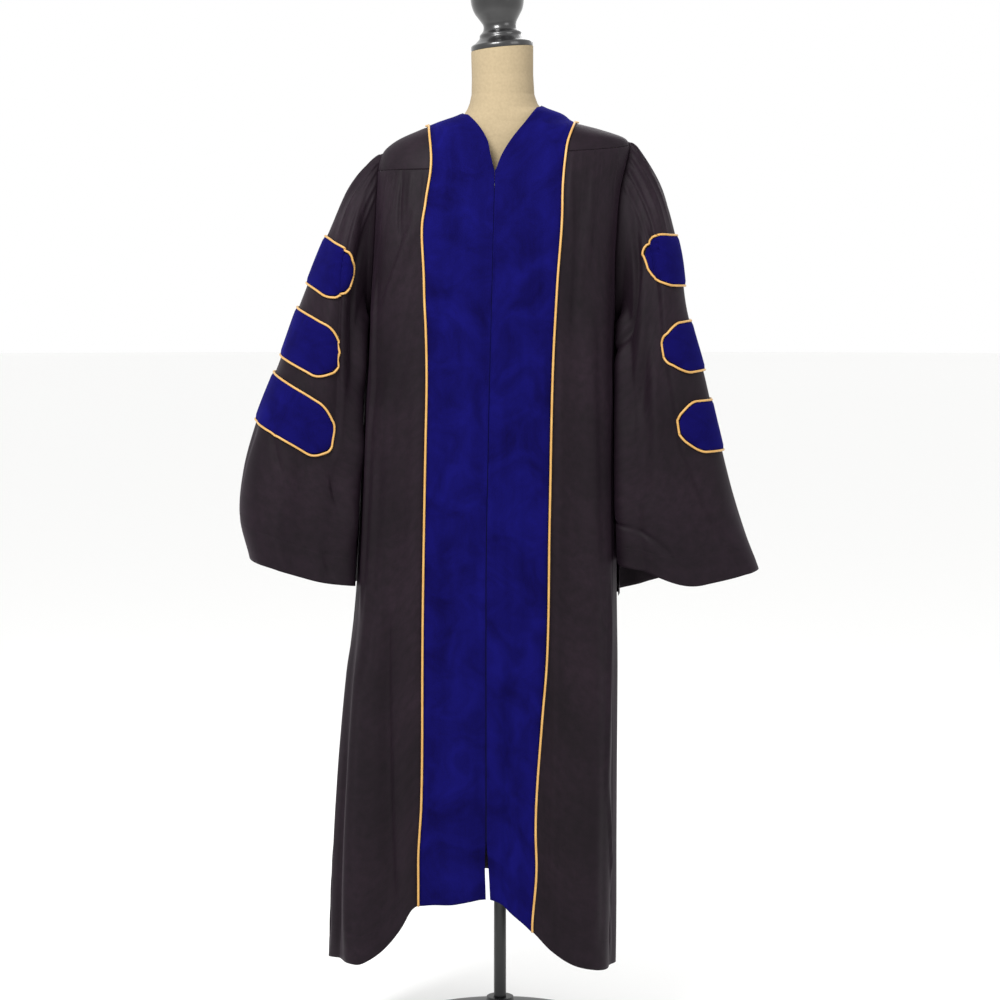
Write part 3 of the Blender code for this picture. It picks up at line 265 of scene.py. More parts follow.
tone = add(
    tree, "ShaderNodeMath", {0: nap.outputs[0], 1: grain.outputs[0]},
    operation="ADD", use_clamp=True,
)
tone_and_relief(
    tree, shader, tone.outputs[0], "#070433", "#0E0C52", pile.outputs["Fac"], 0.5, 0.0006,
)
print("velvet: crushed patches", MOTTLE * 1000, "mm, pile grain", PILE_GRAIN * 1000, "mm")

# %% [markdown]
# ## Gold piping
# The piping is rayon satin, cut on the bias and sewn tight round a 3 mm cotton cord. Satin
# is smooth and soft in its shine, and on the bias its threads run slanting round the cord.
# They are far too fine to show, so they are drawn 1.6 mm apart.
# %% Make the satin
SATIN_PITCH = 0.0016
piping, tree, shader = finish_named(
    "rayon_satin_piping", Roughness=0.42, IOR=1.48, Sheen_Weight=0.25, Sheen_Roughness=0.3,
    Sheen_Tint=colour("#FFE7B0"),
)
cord_map = add(tree, "ShaderNodeUVMap", uv_map="cloth")
slanted = add(
    tree, "ShaderNodeMapping",
    {"Vector": cord_map.outputs[0], "Rotation": (0, 0, math.radians(40))},
)
threads = add(
    tree, "ShaderNodeTexWave",
    {"Vector": slanted.outputs[0], "Scale": WAVE_PITCH / SATIN_PITCH, "Distortion": 0.6},
)
worn = add(
    tree, "ShaderNodeTexNoise", {"Vector": cord_map.outputs[0], "Scale": 45.0, "Detail": 3.0},
)
tone_and_relief(
    tree, shader, worn.outputs["Fac"], "#A97737", "#CBA35C", threads.outputs["Fac"], 0.35,
    0.0002,
)
print("satin: threads drawn at", SATIN_PITCH * 1000, "mm")

# %% [markdown]
# ## The form's, the cap's and the stand's finishes
# The form is covered in cream cotton jersey, matt and slightly uneven. Its cap is turned
# beech under black lacquer, so the grain is only felt as a faint relief under a clear, even
# shine. The pole and base are steel under black powder coat, which dries with a fine
# orange-peel skin. The zip is a woven polyester tape with moulded acetal teeth and a
# slider of blackened zinc.
# %% Make the plain finishes
def grainy(name, dark, light, scale, relief, stretch=(1, 1, 1), mapped=False, **values):
    """A finish with two tones and a fine relief, both from one noise on the piece."""
    made, tree, shader = finish_named(name, **values)
    if mapped:
        where = add(tree, "ShaderNodeUVMap", uv_map="cloth").outputs[0]
    else:
        where = add(tree, "ShaderNodeTexCoord").outputs["Object"]
    where = add(tree, "ShaderNodeMapping", {"Vector": where, "Scale": stretch}).outputs[0]
    noise = add(tree, "ShaderNodeTexNoise", {"Vector": where, "Scale": scale, "Detail": 4.0})
    noise = noise.outputs["Fac"]
    spread = {"Value": noise, "From Min": 0.3, "From Max": 0.7}
    spread = add(tree, "ShaderNodeMapRange", spread).outputs[0]
    tone_and_relief(tree, shader, spread, dark, light, noise, 0.5, relief)
    return made


form_cloth = grainy(
    "cotton_jersey", "#938469", "#9C8C70", 240.0, 0.0004, Roughness=0.95, Sheen_Weight=0.04,
    Sheen_Roughness=0.5, Specular_IOR_Level=0.2,
)
cap_wood = grainy(
    "lacquered_beech", "#0B0B0C", "#141314", 60.0, 0.0002, stretch=(1, 1, 0.12), Roughness=0.32,
    Coat_Weight=0.6, Coat_Roughness=0.12,
)
stand_metal = grainy("powder_coated_steel", "#101113", "#18191B", 900.0, 0.00015, Roughness=0.42)
tape_weave = grainy(
    "woven_polyester_tape", "#08080B", "#111016", 700.0, 0.0002, mapped=True, Roughness=0.75,
    Specular_IOR_Level=0.1,
)
acetal = grainy(
    "moulded_acetal", "#07070A", "#0D0D11", 400.0, 0.0001, Roughness=0.5, Specular_IOR_Level=0.12,
)
zinc = grainy("blackened_zinc", "#2B2B30", "#3C3C42", 500.0, 0.0001, Roughness=0.38, Metallic=0.9)
print("materials:", len(bpy.data.materials))

# %% [markdown]
# ## Reading a shape from a few sizes
# Cloth on a form is far from a box or a cylinder, yet a few measured sections say most of
# it: how far it reaches to each side, to the front and to the back, at a height. A smooth
# curve through the sections gives any height between them. Nurbs surfaces could do the
# same, but a table of sizes is easier to check against the real garment.
# %% Curves through tables
def smooth(at, places, values):
    """A smooth curve through values at places, read at each of at. It never overshoots."""
    places = np.asarray(places, float)
    values = np.asarray(values, float)
    step = np.diff(places)
    rise = np.diff(values) / step
    slope = np.concatenate([rise[:1], np.zeros(len(rise) - 1), rise[-1:]])
    slope[1:-1] = (rise[:-1] * step[1:] + rise[1:] * step[:-1]) / (step[:-1] + step[1:])
    slope[1:-1][rise[:-1] * rise[1:] <= 0] = 0
    most = 3 * np.minimum(abs(rise[:-1]), abs(rise[1:]))
    slope[1:-1] = np.clip(slope[1:-1], -most, most)
    at = np.clip(np.asarray(at, float), places[0], places[-1])
    k = np.clip(np.searchsorted(places, at, side="right") - 1, 0, len(places) - 2)
    s = (at - places[k]) / step[k]
    bend = slope[k] * (1 - s) - slope[k + 1] * s
    ends = values[k] * (1 + 2 * s) * (1 - s) ** 2 + values[k + 1] * s * s * (3 - 2 * s)
    return ends + step[k] * s * (1 - s) * bend


def read(table, column, at, key="z"):
    """One column of a table, read smoothly at the given places of its key column."""
    return smooth(at, [getattr(row, key) for row in table], [getattr(row, column) for row in table])


def ease(x):
    """0 to 1, with a soft start and end."""
    x = np.clip(x, 0, 1)
    return x * x * (3 - 2 * x)


def between(first, last, share):
    """What lies between two values, by share of the way."""
    return first + (last - first) * share


def oval(turn, square):
    """A square-cornered oval of half width 1, by quarter turns from the front."""
    angle = np.asarray(turn) * math.pi / 2
    across, toward = np.sin(angle), np.cos(angle)
    reach = (abs(across) ** square + abs(toward) ** square) ** (-1 / square)
    return across * reach, toward * reach


# %% [markdown]
# ## The gown's body
# The whole skirt and bodice is one surface, read by a turn round it, in quarter turns from
# centre front, and by a height. Every panel is cut out of this one surface, as a tailor
# drapes cloth on a form and then marks the seams, so the pieces meet along their edges.
# %% Sections and lines of the body, in metres
Ring = namedtuple("Ring", "z left right front back square")
BODY_RINGS = (
    Ring(0.130, 0.276, 0.186, 0.160, 0.168, 3.0),
    Ring(0.300, 0.271, 0.188, 0.155, 0.160, 3.0),
    Ring(0.440, 0.262, 0.189, 0.151, 0.152, 3.0),
    Ring(0.600, 0.248, 0.189, 0.147, 0.144, 3.0),
    Ring(0.755, 0.232, 0.188, 0.143, 0.136, 3.0),
    Ring(0.900, 0.224, 0.187, 0.141, 0.130, 3.0),
    Ring(1.060, 0.216, 0.185, 0.139, 0.126, 3.0),
    Ring(1.150, 0.210, 0.183, 0.138, 0.125, 3.0),
    Ring(1.230, 0.207, 0.184, 0.135, 0.125, 3.0),
    Ring(1.320, 0.204, 0.188, 0.127, 0.121, 3.0),
    Ring(1.400, 0.198, 0.196, 0.114, 0.112, 2.8),
    Ring(1.440, 0.192, 0.204, 0.104, 0.104, 2.6),
    Ring(1.460, 0.181, 0.207, 0.098, 0.099, 2.4),
    Ring(1.475, 0.160, 0.201, 0.092, 0.094, 2.3),
    Ring(1.490, 0.126, 0.160, 0.087, 0.089, 2.2),
    Ring(1.500, 0.102, 0.122, 0.083, 0.085, 2.2),
    Ring(1.515, 0.062, 0.098, 0.078, 0.081, 2.1),
    Ring(1.525, 0.056, 0.072, 0.074, 0.078, 2.0),
    Ring(1.540, 0.054, 0.060, 0.070, 0.075, 2.0),
)
Hem = namedtuple("Hem", "turn z")
HEM = (
    Hem(-1.000, 0.155), Hem(-0.780, 0.160), Hem(-0.605, 0.165), Hem(-0.517, 0.164),
    Hem(-0.463, 0.174), Hem(-0.399, 0.199), Hem(-0.350, 0.228), Hem(-0.309, 0.260),
    Hem(-0.267, 0.266), Hem(-0.180, 0.268), Hem(-0.050, 0.277), Hem(0.080, 0.250),
    Hem(0.170, 0.225), Hem(0.278, 0.189), Hem(0.378, 0.168), Hem(0.481, 0.158),
    Hem(0.620, 0.153), Hem(1.000, 0.148), Hem(1.300, 0.166), Hem(1.650, 0.215),
    Hem(2.000, 0.250), Hem(2.350, 0.215), Hem(2.700, 0.172), Hem(3.000, 0.155),
)
Line = namedtuple("Line", "z x")
CENTRE_FRONT = (
    Line(0.277, -0.019), Line(0.370, -0.022), Line(0.750, -0.022), Line(0.960, -0.019),
    Line(1.174, -0.014), Line(1.298, -0.011), Line(1.421, -0.008),
)
PIPING_LEFT = (
    Line(0.264, -0.129), Line(0.332, -0.129), Line(0.430, -0.124), Line(0.750, -0.121),
    Line(1.000, -0.116), Line(1.110, -0.114), Line(1.250, -0.118), Line(1.330, -0.121),
    Line(1.375, -0.115), Line(1.437, -0.107), Line(1.495, -0.112),
)
PIPING_RIGHT = (
    Line(0.238, 0.051), Line(0.332, 0.057), Line(0.380, 0.056), Line(0.557, 0.065),
    Line(0.653, 0.073), Line(0.876, 0.077), Line(1.127, 0.083), Line(1.251, 0.089),
    Line(1.344, 0.096), Line(1.406, 0.098), Line(1.437, 0.101), Line(1.468, 0.106),
    Line(1.501, 0.119),
)
NECKLINE_LEFT = (
    Line(1.421, -0.009), Line(1.447, -0.015), Line(1.470, -0.020), Line(1.492, -0.033),
    Line(1.517, -0.056),
)
NECKLINE_RIGHT = (
    Line(1.421, -0.007), Line(1.447, 0.003), Line(1.473, 0.019), Line(1.498, 0.039),
    Line(1.529, 0.063),
)
Slit = namedtuple("Slit", "z gap")
FRONT_GAP = (
    Slit(0.277, 0.0070), Slit(0.340, 0.0050), Slit(0.372, 0.0018), Slit(0.750, 0.0014),
    Slit(1.421, 0.0008),
)
Side = namedtuple(
    "Side",
    "name sign piping neckline neck_z ridge_z yoke_z armhole_z armhole_half yoke_at back_yoke_at",
)
LEFT = Side("left", -1, PIPING_LEFT, NECKLINE_LEFT, 1.517, 1.4955, 1.424, 1.318, 0.138, 140, 120)
RIGHT = Side("right", 1, PIPING_RIGHT, NECKLINE_RIGHT, 1.529, 1.5010, 1.452, 1.325, 0.150, 160, 120)
ARMHOLE_TURN = 0.27  # half the armhole's width, in quarter turns
BACK_YOKE_Z = 1.372
BACK_BAND_Z = 1.452
BAND_TOP_Z = 1.498
SEAM_GAP = 0.0006
PIPED_GAP = 0.0018
RIDGE_GAP = 0.0045
VELVET_WALL = 0.0020
CLOTH_WALL = 0.0011
print("gown's height, m:", RIGHT.neck_z - HEM[-1].z)

# %% [markdown]
# ## Folds
# Hanging cloth gathers its spare width into folds. Each one here is listed: where
# it starts and ends, how far it stands out, how wide it is, whether it bows, and whether
# one flank is steeper. A negative rise is a trough. Under a gathered seam they are short,
# narrow and crowded, and lower down they run together into a few broad ones. Cloth
# simulation makes folds too, but never the ones that this gown has.
# %% Folds of the body
Fold = namedtuple(
    "Fold", "at_top at_bottom top bottom rise_top rise_bottom width bow lean", defaults=(0, 0),
)
FRONT_FOLDS = (
    Fold(-0.62, -0.50, 1.10, -0.20, 0.004, 0.013, 0.13),
    Fold(-0.47, -0.36, 0.95, -0.20, -0.003, -0.011, 0.09),
    Fold(-0.52, -0.66, 1.42, 1.06, 0.006, 0.004, 0.12),
    Fold(0.60, 0.50, 1.44, -0.20, 0.004, 0.014, 0.17),
    Fold(0.40, 0.27, 1.30, -0.20, -0.003, -0.011, 0.09),
    Fold(-0.15, -0.16, 1.30, -0.20, 0.003, 0.004, 0.08),
    Fold(0.12, 0.07, 1.30, -0.20, 0.003, 0.003, 0.07),
)
SIDE_FOLDS = (
    Fold(-0.80, -0.74, 0.72, -0.20, 0.004, 0.010, 0.11),
    Fold(-0.96, -0.90, 0.72, -0.20, -0.006, -0.016, 0.10),
    Fold(0.80, 0.76, 0.72, -0.20, 0.002, 0.005, 0.10),
    Fold(0.98, 0.95, 0.72, -0.20, -0.006, -0.014, 0.12),
    Fold(1.12, 1.12, 0.72, -0.20, 0.003, 0.006, 0.10),
    Fold(2.88, 2.90, 0.72, -0.20, 0.004, 0.006, 0.10),
)
FINE_FOLDS = (
    Fold(-0.512, -0.468, 1.440, 1.290, -0.0050, -0.0014, 0.020, 0.00, 0.3),
    Fold(-0.450, -0.420, 1.430, 1.330, 0.0030, 0.0010, 0.034),
    Fold(-0.585, -0.600, 1.430, 1.300, 0.0034, 0.0018, 0.036),
    Fold(-0.375, -0.610, 1.385, 1.180, 0.0050, 0.0050, 0.050, 0.02, 0.4),
    Fold(-0.330, -0.540, 1.330, 1.000, -0.0030, -0.0040, 0.060, 0.02),
    Fold(-0.640, -0.640, 1.300, 0.700, 0.0050, 0.0060, 0.050, 0.00, -0.5),
    Fold(-0.365, -0.345, 1.120, 0.560, 0.0036, 0.0030, 0.050, -0.01),
    Fold(-0.560, -0.575, 1.020, 0.560, -0.0040, -0.0040, 0.050, 0.01, 0.3),
    Fold(-0.483, -0.374, 0.780, 0.230, -0.0050, -0.0080, 0.042, 0.00, -0.4),
    Fold(-0.420, -0.310, 0.760, 0.230, 0.0024, 0.0034, 0.034),
    Fold(-0.895, -0.770, 0.800, 0.140, -0.0050, -0.0070, 0.045, 0.00, 0.5),
    Fold(-0.640, -0.570, 0.700, 0.140, 0.0030, 0.0050, 0.045),
    Fold(-0.690, -0.660, 0.560, 0.140, -0.0024, -0.0040, 0.035),
    Fold(0.295, 0.235, 1.220, 0.180, -0.0050, -0.0090, 0.050, 0.00, -0.3),
    Fold(0.470, 0.465, 1.240, 0.150, 0.0040, 0.0056, 0.065, 0.01),
    Fold(0.395, 0.380, 1.440, 1.120, -0.0036, -0.0030, 0.040, 0.01),
    Fold(0.340, 0.365, 1.440, 1.300, 0.0026, 0.0010, 0.026),
    Fold(0.470, 0.450, 1.445, 1.240, 0.0034, 0.0020, 0.034),
    Fold(0.600, 0.545, 0.800, 0.400, 0.0036, 0.0030, 0.030, 0.00, 0.5),
    Fold(0.550, 0.690, 0.480, 0.140, 0.0034, 0.0050, 0.032, 0.00, 0.4),
    Fold(0.640, 0.640, 1.100, 0.150, -0.0040, -0.0060, 0.045, 0.00, 0.4),
    Fold(-0.020, -0.060, 1.410, 0.980, 0.0020, 0.0018, 0.018, 0.00, -0.5),
    Fold(-0.060, -0.020, 0.985, 0.800, 0.0018, 0.0014, 0.018),
    Fold(-0.160, -0.330, 1.360, 1.150, 0.0020, 0.0020, 0.034, 0.01),
    Fold(-0.115, -0.180, 1.450, 1.240, 0.0014, 0.0016, 0.028, -0.01),
    Fold(0.190, 0.200, 1.400, 1.140, 0.0018, 0.0014, 0.030),
    Fold(0.110, 0.120, 1.240, 0.700, -0.0014, -0.0018, 0.035, 0.01),
    Fold(-0.230, -0.220, 1.120, 0.560, -0.0014, -0.0020, 0.035, -0.01),
    Fold(-0.120, -0.110, 0.760, 0.180, 0.0018, 0.0030, 0.040, 0.01),
    Fold(0.050, 0.020, 0.700, 0.180, -0.0016, -0.0030, 0.035),
    Fold(1.060, 1.100, 1.180, 0.150, -0.0040, -0.0060, 0.060),
    Fold(1.200, 1.210, 1.250, 0.150, 0.0040, 0.0070, 0.060),
    Fold(2.940, 2.900, 1.180, 0.150, -0.0040, -0.0060, 0.060),
    Fold(2.790, 2.800, 1.250, 0.150, 0.0040, 0.0070, 0.060),
)
BACK_FROM = 1.30
BACK_FOLD_PITCH = 0.175
BACK_FOLD_BOTTOM = (0.018, 0.013, 0.022, 0.016, 0.021, 0.014, 0.020, 0.017)
back_folds = tuple(
    Fold(BACK_FROM + BACK_FOLD_PITCH * (k + 0.5), BACK_FROM + BACK_FOLD_PITCH * (k + 0.5),
         BACK_YOKE_Z, -0.20, 0.005, rise, 0.080)
    for k, rise in enumerate(BACK_FOLD_BOTTOM)
)
uneven = np.random.default_rng(11)


def gathers(first, last, count, top, reach, rise, fill=0.42):
    """Short folds side by side under a gathered seam, none quite like the next."""
    pitch = (last - first) / count
    made = []
    for k in range(count):
        at = first + pitch * (k + 0.5 + uneven.uniform(-0.22, 0.22))
        drift = abs(pitch) * uneven.uniform(-0.5, 0.5)
        low = top - reach * uneven.uniform(0.45, 1.0)
        high = rise * uneven.uniform(0.6, 1.1)
        width = abs(pitch) * fill * uneven.uniform(0.8, 1.2)
        made.append(Fold(at, at + drift, top + 0.1, low, high, high * 0.3, width))
    return tuple(made)


back_gathers = gathers(1.34, 2.66, 30, BACK_YOKE_Z, 0.34, 0.0030)
front_gathers = gathers(-0.66, -0.36, 8, 1.430, 0.16, 0.0018)
front_gathers += gathers(0.34, 0.66, 9, 1.452, 0.18, 0.0018)
BROAD_FOLDS = FRONT_FOLDS + SIDE_FOLDS + FINE_FOLDS + back_folds
print("body folds:", len(BROAD_FOLDS), "and gathers:", len(back_gathers + front_gathers))

# %% [markdown]
# Folds add up on the plain surface, and each point moves out square to it. A slow ripple,
# about a millimetre high, runs over everything, because real cloth is never quite flat.
# %% The body's surface with its folds
FADE = 0.10
SHORT = 0.004  # a short step along a surface, to find which way it faces


def stand_out(across, along, folds, period, falling=False):
    """How far the folds stand out of the plain surface. Heights fall from top to bottom."""
    total = np.zeros(np.broadcast(across, along).shape)
    place = -along if falling else along
    for fold in folds:
        top, bottom = (-fold.top, -fold.bottom) if falling else (fold.top, fold.bottom)
        share = np.clip((place - top) / (bottom - top), 0, 1)
        centre = between(fold.at_top, fold.at_bottom, share) + 4 * fold.bow * share * (1 - share)
        off = (across - centre + period / 2) % period - period / 2
        width = fold.width * (1 + fold.lean * np.sign(off))
        shape = 0.5 + 0.5 * np.cos(math.pi * np.clip(off / width, -1, 1))
        fade = min(FADE, abs(bottom - top) * 0.4)
        ends = ease((place - top) / fade) * ease((bottom - place) / fade)
        total += between(fold.rise_top, fold.rise_bottom, share) * shape * ends
    return total


def body_plain(turn, z):
    """The gown's body without folds."""
    across, toward = oval(turn, read(BODY_RINGS, "square", z))
    side = np.where(across < 0, read(BODY_RINGS, "left", z), read(BODY_RINGS, "right", z))
    depth = np.where(toward > 0, read(BODY_RINGS, "front", z), read(BODY_RINGS, "back", z))
    return np.stack([side * across, -depth * toward, z + 0 * across], axis=-1)


def gather_rise(turn, z):
    """The gathers under the yoke seams, which start at the seam itself."""
    below_seam = ease((back_seam(turn % 4) - z) / 0.012)
    rise = stand_out(turn, z, back_gathers, 4, falling=True) * below_seam
    in_front = stand_out(turn, z, front_gathers, 4, falling=True)
    return rise + in_front * ease((1.445 + 0.02 * np.sign(turn) - z) / 0.02)


def ripple(turn, z):
    """A slow, low unevenness that closes on itself round the gown."""
    quarter = math.pi / 2 * turn
    waves = np.sin(9 * quarter + 3.0 * np.sin(3.1 * z)) * np.sin(4.2 * z + 2 * quarter)
    waves += 0.7 * np.sin(17 * quarter + 2.1 * np.sin(5.3 * z + quarter)) * np.sin(7.1 * z - 3 * quarter)
    return 0.0009 * waves * ease((1.46 - z) / 0.2)


def body_folded(turn, z):
    """The gown's body with its folds, which stand out level."""
    turn, z = np.broadcast_arrays(np.asarray(turn, float), np.asarray(z, float))
    along = body_plain(turn + SHORT, z) - body_plain(turn - SHORT, z)
    level = np.stack([along[..., 1], -along[..., 0], 0 * z], axis=-1)
    level /= np.linalg.norm(level, axis=-1, keepdims=True)
    rise = stand_out(turn, z, BROAD_FOLDS, period=4, falling=True)
    rise = rise + gather_rise(turn, z) + ripple(turn, z)
    return body_plain(turn, z) + level * rise[..., None]


def body(turn, z, out=0.0):
    """A point of the gown's body, moved out square to the cloth."""
    turn, z = np.broadcast_arrays(np.asarray(turn, float), np.asarray(z, float))
    round_it = body_folded(turn + SHORT, z) - body_folded(turn - SHORT, z)
    up = body_folded(turn, z + SHORT / 4) - body_folded(turn, z - SHORT / 4)
    normal = np.cross(round_it, up)
    normal /= np.linalg.norm(normal, axis=-1, keepdims=True)
    return body_folded(turn, z) + normal * np.asarray(out)[..., None]


# %% [markdown]
# ## Cutting lines
# The seams are lines on that surface: the piping, the front edges, the neckline, the
# armholes, and the yoke seams. They are given as a maker marks them, by where they lie seen
# from the front, and turned into places on the surface.
# %% Seams as lines on the surface
PIPING_TO_RIDGE = 0.004
NECKLINE_TO_RIDGE = 0.006
QUARTER_SHARE = 0.8  # a quarter of the girth is about 0.8 of half width and depth together


def turn_of(x, z):
    """The turn at which the gown's front lies at this x, at height z."""
    left, right = read(BODY_RINGS, "left", z), read(BODY_RINGS, "right", z)
    side = np.where(np.asarray(x) < 0, left, right)
    square = read(BODY_RINGS, "square", z)
    share = np.clip(abs(x) / side, 0, 0.99999)
    return np.sign(x) * np.arctan2(share, (1 - share**square) ** (1 / square)) * 2 / math.pi


def piping_turn(side, z):
    """The turn of the seam between velvet and black cloth, which reaches the shoulder ridge."""
    turn = turn_of(read(side.piping, "x", z), z)
    near_ridge = ease((np.asarray(z) - side.ridge_z + PIPING_TO_RIDGE) / PIPING_TO_RIDGE)
    return turn * (1 - near_ridge) + side.sign * near_ridge


def front_edge_turn(side, z):
    """The turn of the velvet's front edge, half the gap away from centre front."""
    half = read(FRONT_GAP, "gap", z) / 2
    return turn_of(read(CENTRE_FRONT, "x", z) + side.sign * half, z)


def neckline_turn(side, z):
    """The turn of the V neckline, which ends on the shoulder ridge at the neck."""
    turn = turn_of(read(side.neckline, "x", z), z)
    near_ridge = ease((np.asarray(z) - side.neck_z + NECKLINE_TO_RIDGE) / NECKLINE_TO_RIDGE)
    return turn * (1 - near_ridge) + side.sign * near_ridge


def armhole(side, angle, back=False):
    """A turn and a height on the armhole, by degrees from the underarm up to the shoulder."""
    reach = ARMHOLE_TURN * np.sin(np.radians(angle))
    height = side.armhole_z - side.armhole_half * np.cos(np.radians(angle))
    return 1 + reach if back else 1 - reach, height


def back_seam(turn):
    """The height of the seam between the back yoke and the gathered back panel."""
    right = armhole(RIGHT, RIGHT.back_yoke_at, back=True)
    left = armhole(LEFT, LEFT.back_yoke_at, back=True)
    places = (right[0], 1.6, 2.4, 4 - left[0])
    return smooth(turn, places, (right[1], BACK_YOKE_Z, BACK_YOKE_Z, left[1]))


def band_edge(turn, top):
    """The height of the velvet band's edges behind the neck: level above, an oval below."""
    across = oval(turn, 2.1)[0]
    if top:
        return (RIGHT.neck_z + LEFT.neck_z) / 2 + (RIGHT.neck_z - LEFT.neck_z) / 2 * across
    # The lower edge is found by reading the oval at many heights from 1.44 to 1.505 m.
    z = np.linspace(1.44, 1.505, 131)
    point = body_plain(np.asarray(turn)[:, None], z)
    left = read(BODY_RINGS, "left", LEFT.ridge_z)
    right = read(BODY_RINGS, "right", RIGHT.ridge_z)
    wide = np.where(point[..., 0] < 0, left, right)
    ridge = LEFT.ridge_z + (RIGHT.ridge_z - LEFT.ridge_z) * (point[..., 0] + left) / (left + right)
    below = np.clip(ridge - z, 0, 1) / (BAND_TOP_Z - BACK_BAND_Z)
    inside = (point[..., 0] / wide) ** 2 + below**2
    return np.array([np.interp(-1, -row, z) for row in inside])


def half_gap(z, gap=SEAM_GAP):
    """Half a seam's gap in turns, for a cut that runs up the gown."""
    quarter = QUARTER_SHARE * (read(BODY_RINGS, "right", z) + read(BODY_RINGS, "front", z))
    return gap / 2 / quarter


def hem_z(turn):
    """The height of the hem, which is hitched up in front."""
    return read(HEM, "z", turn, key="turn")


def piping_foot(side):
    """The height at which a front seam with its piping meets the hem."""
    return hem_z(piping_turn(side, 0.25))


def spaced(turn_at, low, high, shares):
    """Heights along a cut that runs up the cloth, at shares of the cut's length."""
    z = np.linspace(low, high, 200)
    steps = np.linalg.norm(np.diff(body_plain(turn_at(z), z), axis=0), axis=1)
    length = np.concatenate([[0], np.cumsum(steps)])
    return np.interp(np.asarray(shares) * length[-1], length, z)


print("hem, m: centre front", round(float(hem_z(0.0)), 3), "side", round(float(hem_z(1.0)), 3))

# %% [markdown]
# ## A piece of cloth
# A plain grid from bmesh becomes a panel: each of its points is moved to its place on the
# surface. The grid keeps a map in metres, across and up from the hem, so that weave and nap
# follow the cloth round every fold. A Solidify modifier then gives the sheet its wall.
# Rows and columns lie closer beside a seam, where the cloth turns in towards the stitches.
# The patterns of the two sides start 1.4 m apart on the map, so they don't mirror each other.
# %% From grid to cloth
TURN_IN = 0.0010
TURN_IN_REACH = 0.005
BESIDE_SEAM = (0.0010, 0.0024)
SIDE_MAP = 0.7
ABOVE_HEM_LINE = 2.0  # a yoke's map starts this far up, clear of the line over a hem
Cloth = namedtuple("Cloth", "finish wall slot")
VELVET = Cloth(velvet, VELVET_WALL, "velvet")
BLACK = Cloth(gown_cloth, CLOTH_WALL, "gown_cloth")


def shares_of(length, cell, sewn=(True, True)):
    """Shares of a length, about a cell apart, with closer ones beside each sewn end."""
    even = np.linspace(0, 1, max(2, round(length / cell)) + 1)
    close = np.array(BESIDE_SEAM) / length
    more = ([*close] if sewn[0] else []) + ([*(1 - close)] if sewn[1] else [])
    return np.unique(np.concatenate([even, more]))


def turned_in(across, up, width, length, sewn):
    """How far the cloth goes in beside its edges. sewn gives shares of TURN_IN for the left,
    the right, the bottom and the top edge."""
    deepest = np.zeros(np.broadcast(across, up).shape)
    offs = (across * width, (1 - across) * width, up * length, (1 - up) * length)
    for share, off in zip(sewn, offs):
        deepest = np.minimum(deepest, -TURN_IN * share * (1 - ease(off / TURN_IN_REACH)) ** 1.5)
    return deepest


def sheet_between(bottom, top, left, right, across, up):
    """Turns and heights all over a piece, from its four edges, each its turns and heights."""
    bottom, top, left, right = (np.stack(edge, axis=-1) for edge in (bottom, top, left, right))
    a, b = across[None, :, None], up[:, None, None]
    sides = (1 - a) * left[:, None] + a * right[:, None]
    ends = (1 - b) * bottom[None] + b * top[None]
    first = (1 - b) * bottom[0] + b * top[0]
    last = (1 - b) * bottom[-1] + b * top[-1]
    both = sides + ends - ((1 - a) * first + a * last)
    return both[..., 0], both[..., 1]


def grid_piece(name, points, across, up, finish, tube=False, fill=False):
    """An object whose grid of points lies row by row, with its map in metres."""
    rows, columns = points.shape[0] - 1, points.shape[1] - 1
    shape = bmesh.new()
    shape.loops.layers.uv.new("cloth")
    bmesh.ops.create_grid(shape, x_segments=columns, y_segments=rows, size=1, calc_uvs=True)
    for vertex in shape.verts:
        column = round((vertex.co.x + 1) / 2 * columns)
        row = round((vertex.co.y + 1) / 2 * rows)
        vertex.co = points[row, column]
    if tube:
        bmesh.ops.remove_doubles(shape, verts=shape.verts, dist=0.00001)
    if fill:
        bmesh.ops.holes_fill(shape, edges=[edge for edge in shape.edges if edge.is_boundary])
    bmesh.ops.recalc_face_normals(shape, faces=shape.faces)
    piece = object_of(shape, name, finish)
    mesh = piece.data
    grid_map = np.empty(len(mesh.loops) * 2, np.float32)
    mesh.uv_layers["cloth"].data.foreach_get("uv", grid_map)
    grid_map = grid_map.reshape(-1, 2)
    column = np.clip(np.round(grid_map[:, 0] * columns), 0, columns).astype(int)
    row = np.clip(np.round(grid_map[:, 1] * rows), 0, rows).astype(int)
    across, up = np.broadcast_arrays(across, up)
    in_metres = np.stack([across[row, column], up[row, column]], axis=-1)
    mesh.uv_layers["cloth"].data.foreach_set("uv", in_metres.astype(np.float32).ravel())
    mesh.shade_smooth()
    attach(piece, "root")
    return piece


def cloth_piece(node, points, across, up, cloth, tube=False):
    """A sheet with a wall, in the place of its CAD node."""
    piece = grid_piece(f"{node}_cloth", points, across, up, cloth.finish, tube)
    solid = piece.modifiers.new("wall", "SOLIDIFY")
    solid.thickness = cloth.wall
    solid.offset = 0
    solid.use_quality_normals = True
    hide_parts(node)
    one, two = np.diff(points, axis=0)[:, :-1], np.diff(points, axis=1)[:-1]
    area = float(np.linalg.norm(np.cross(one, two), axis=-1).sum())
    print(piece.name, "cells", len(piece.data.polygons), "area, m2:", round(area, 4))
    return piece


def body_panel(node, turn, z, across, up, size, sewn, cloth, map_from=(0, 0)):
    """A panel of the gown's body, whose edges turn in where they are sewn."""
    across, up = across[None], up[:, None]
    points = body(turn, z, turned_in(across, up, *size, sewn))
    in_metres = map_from[0] + across * size[0], map_from[1] + up * size[1]
    return cloth_piece(node, points, *in_metres, cloth)


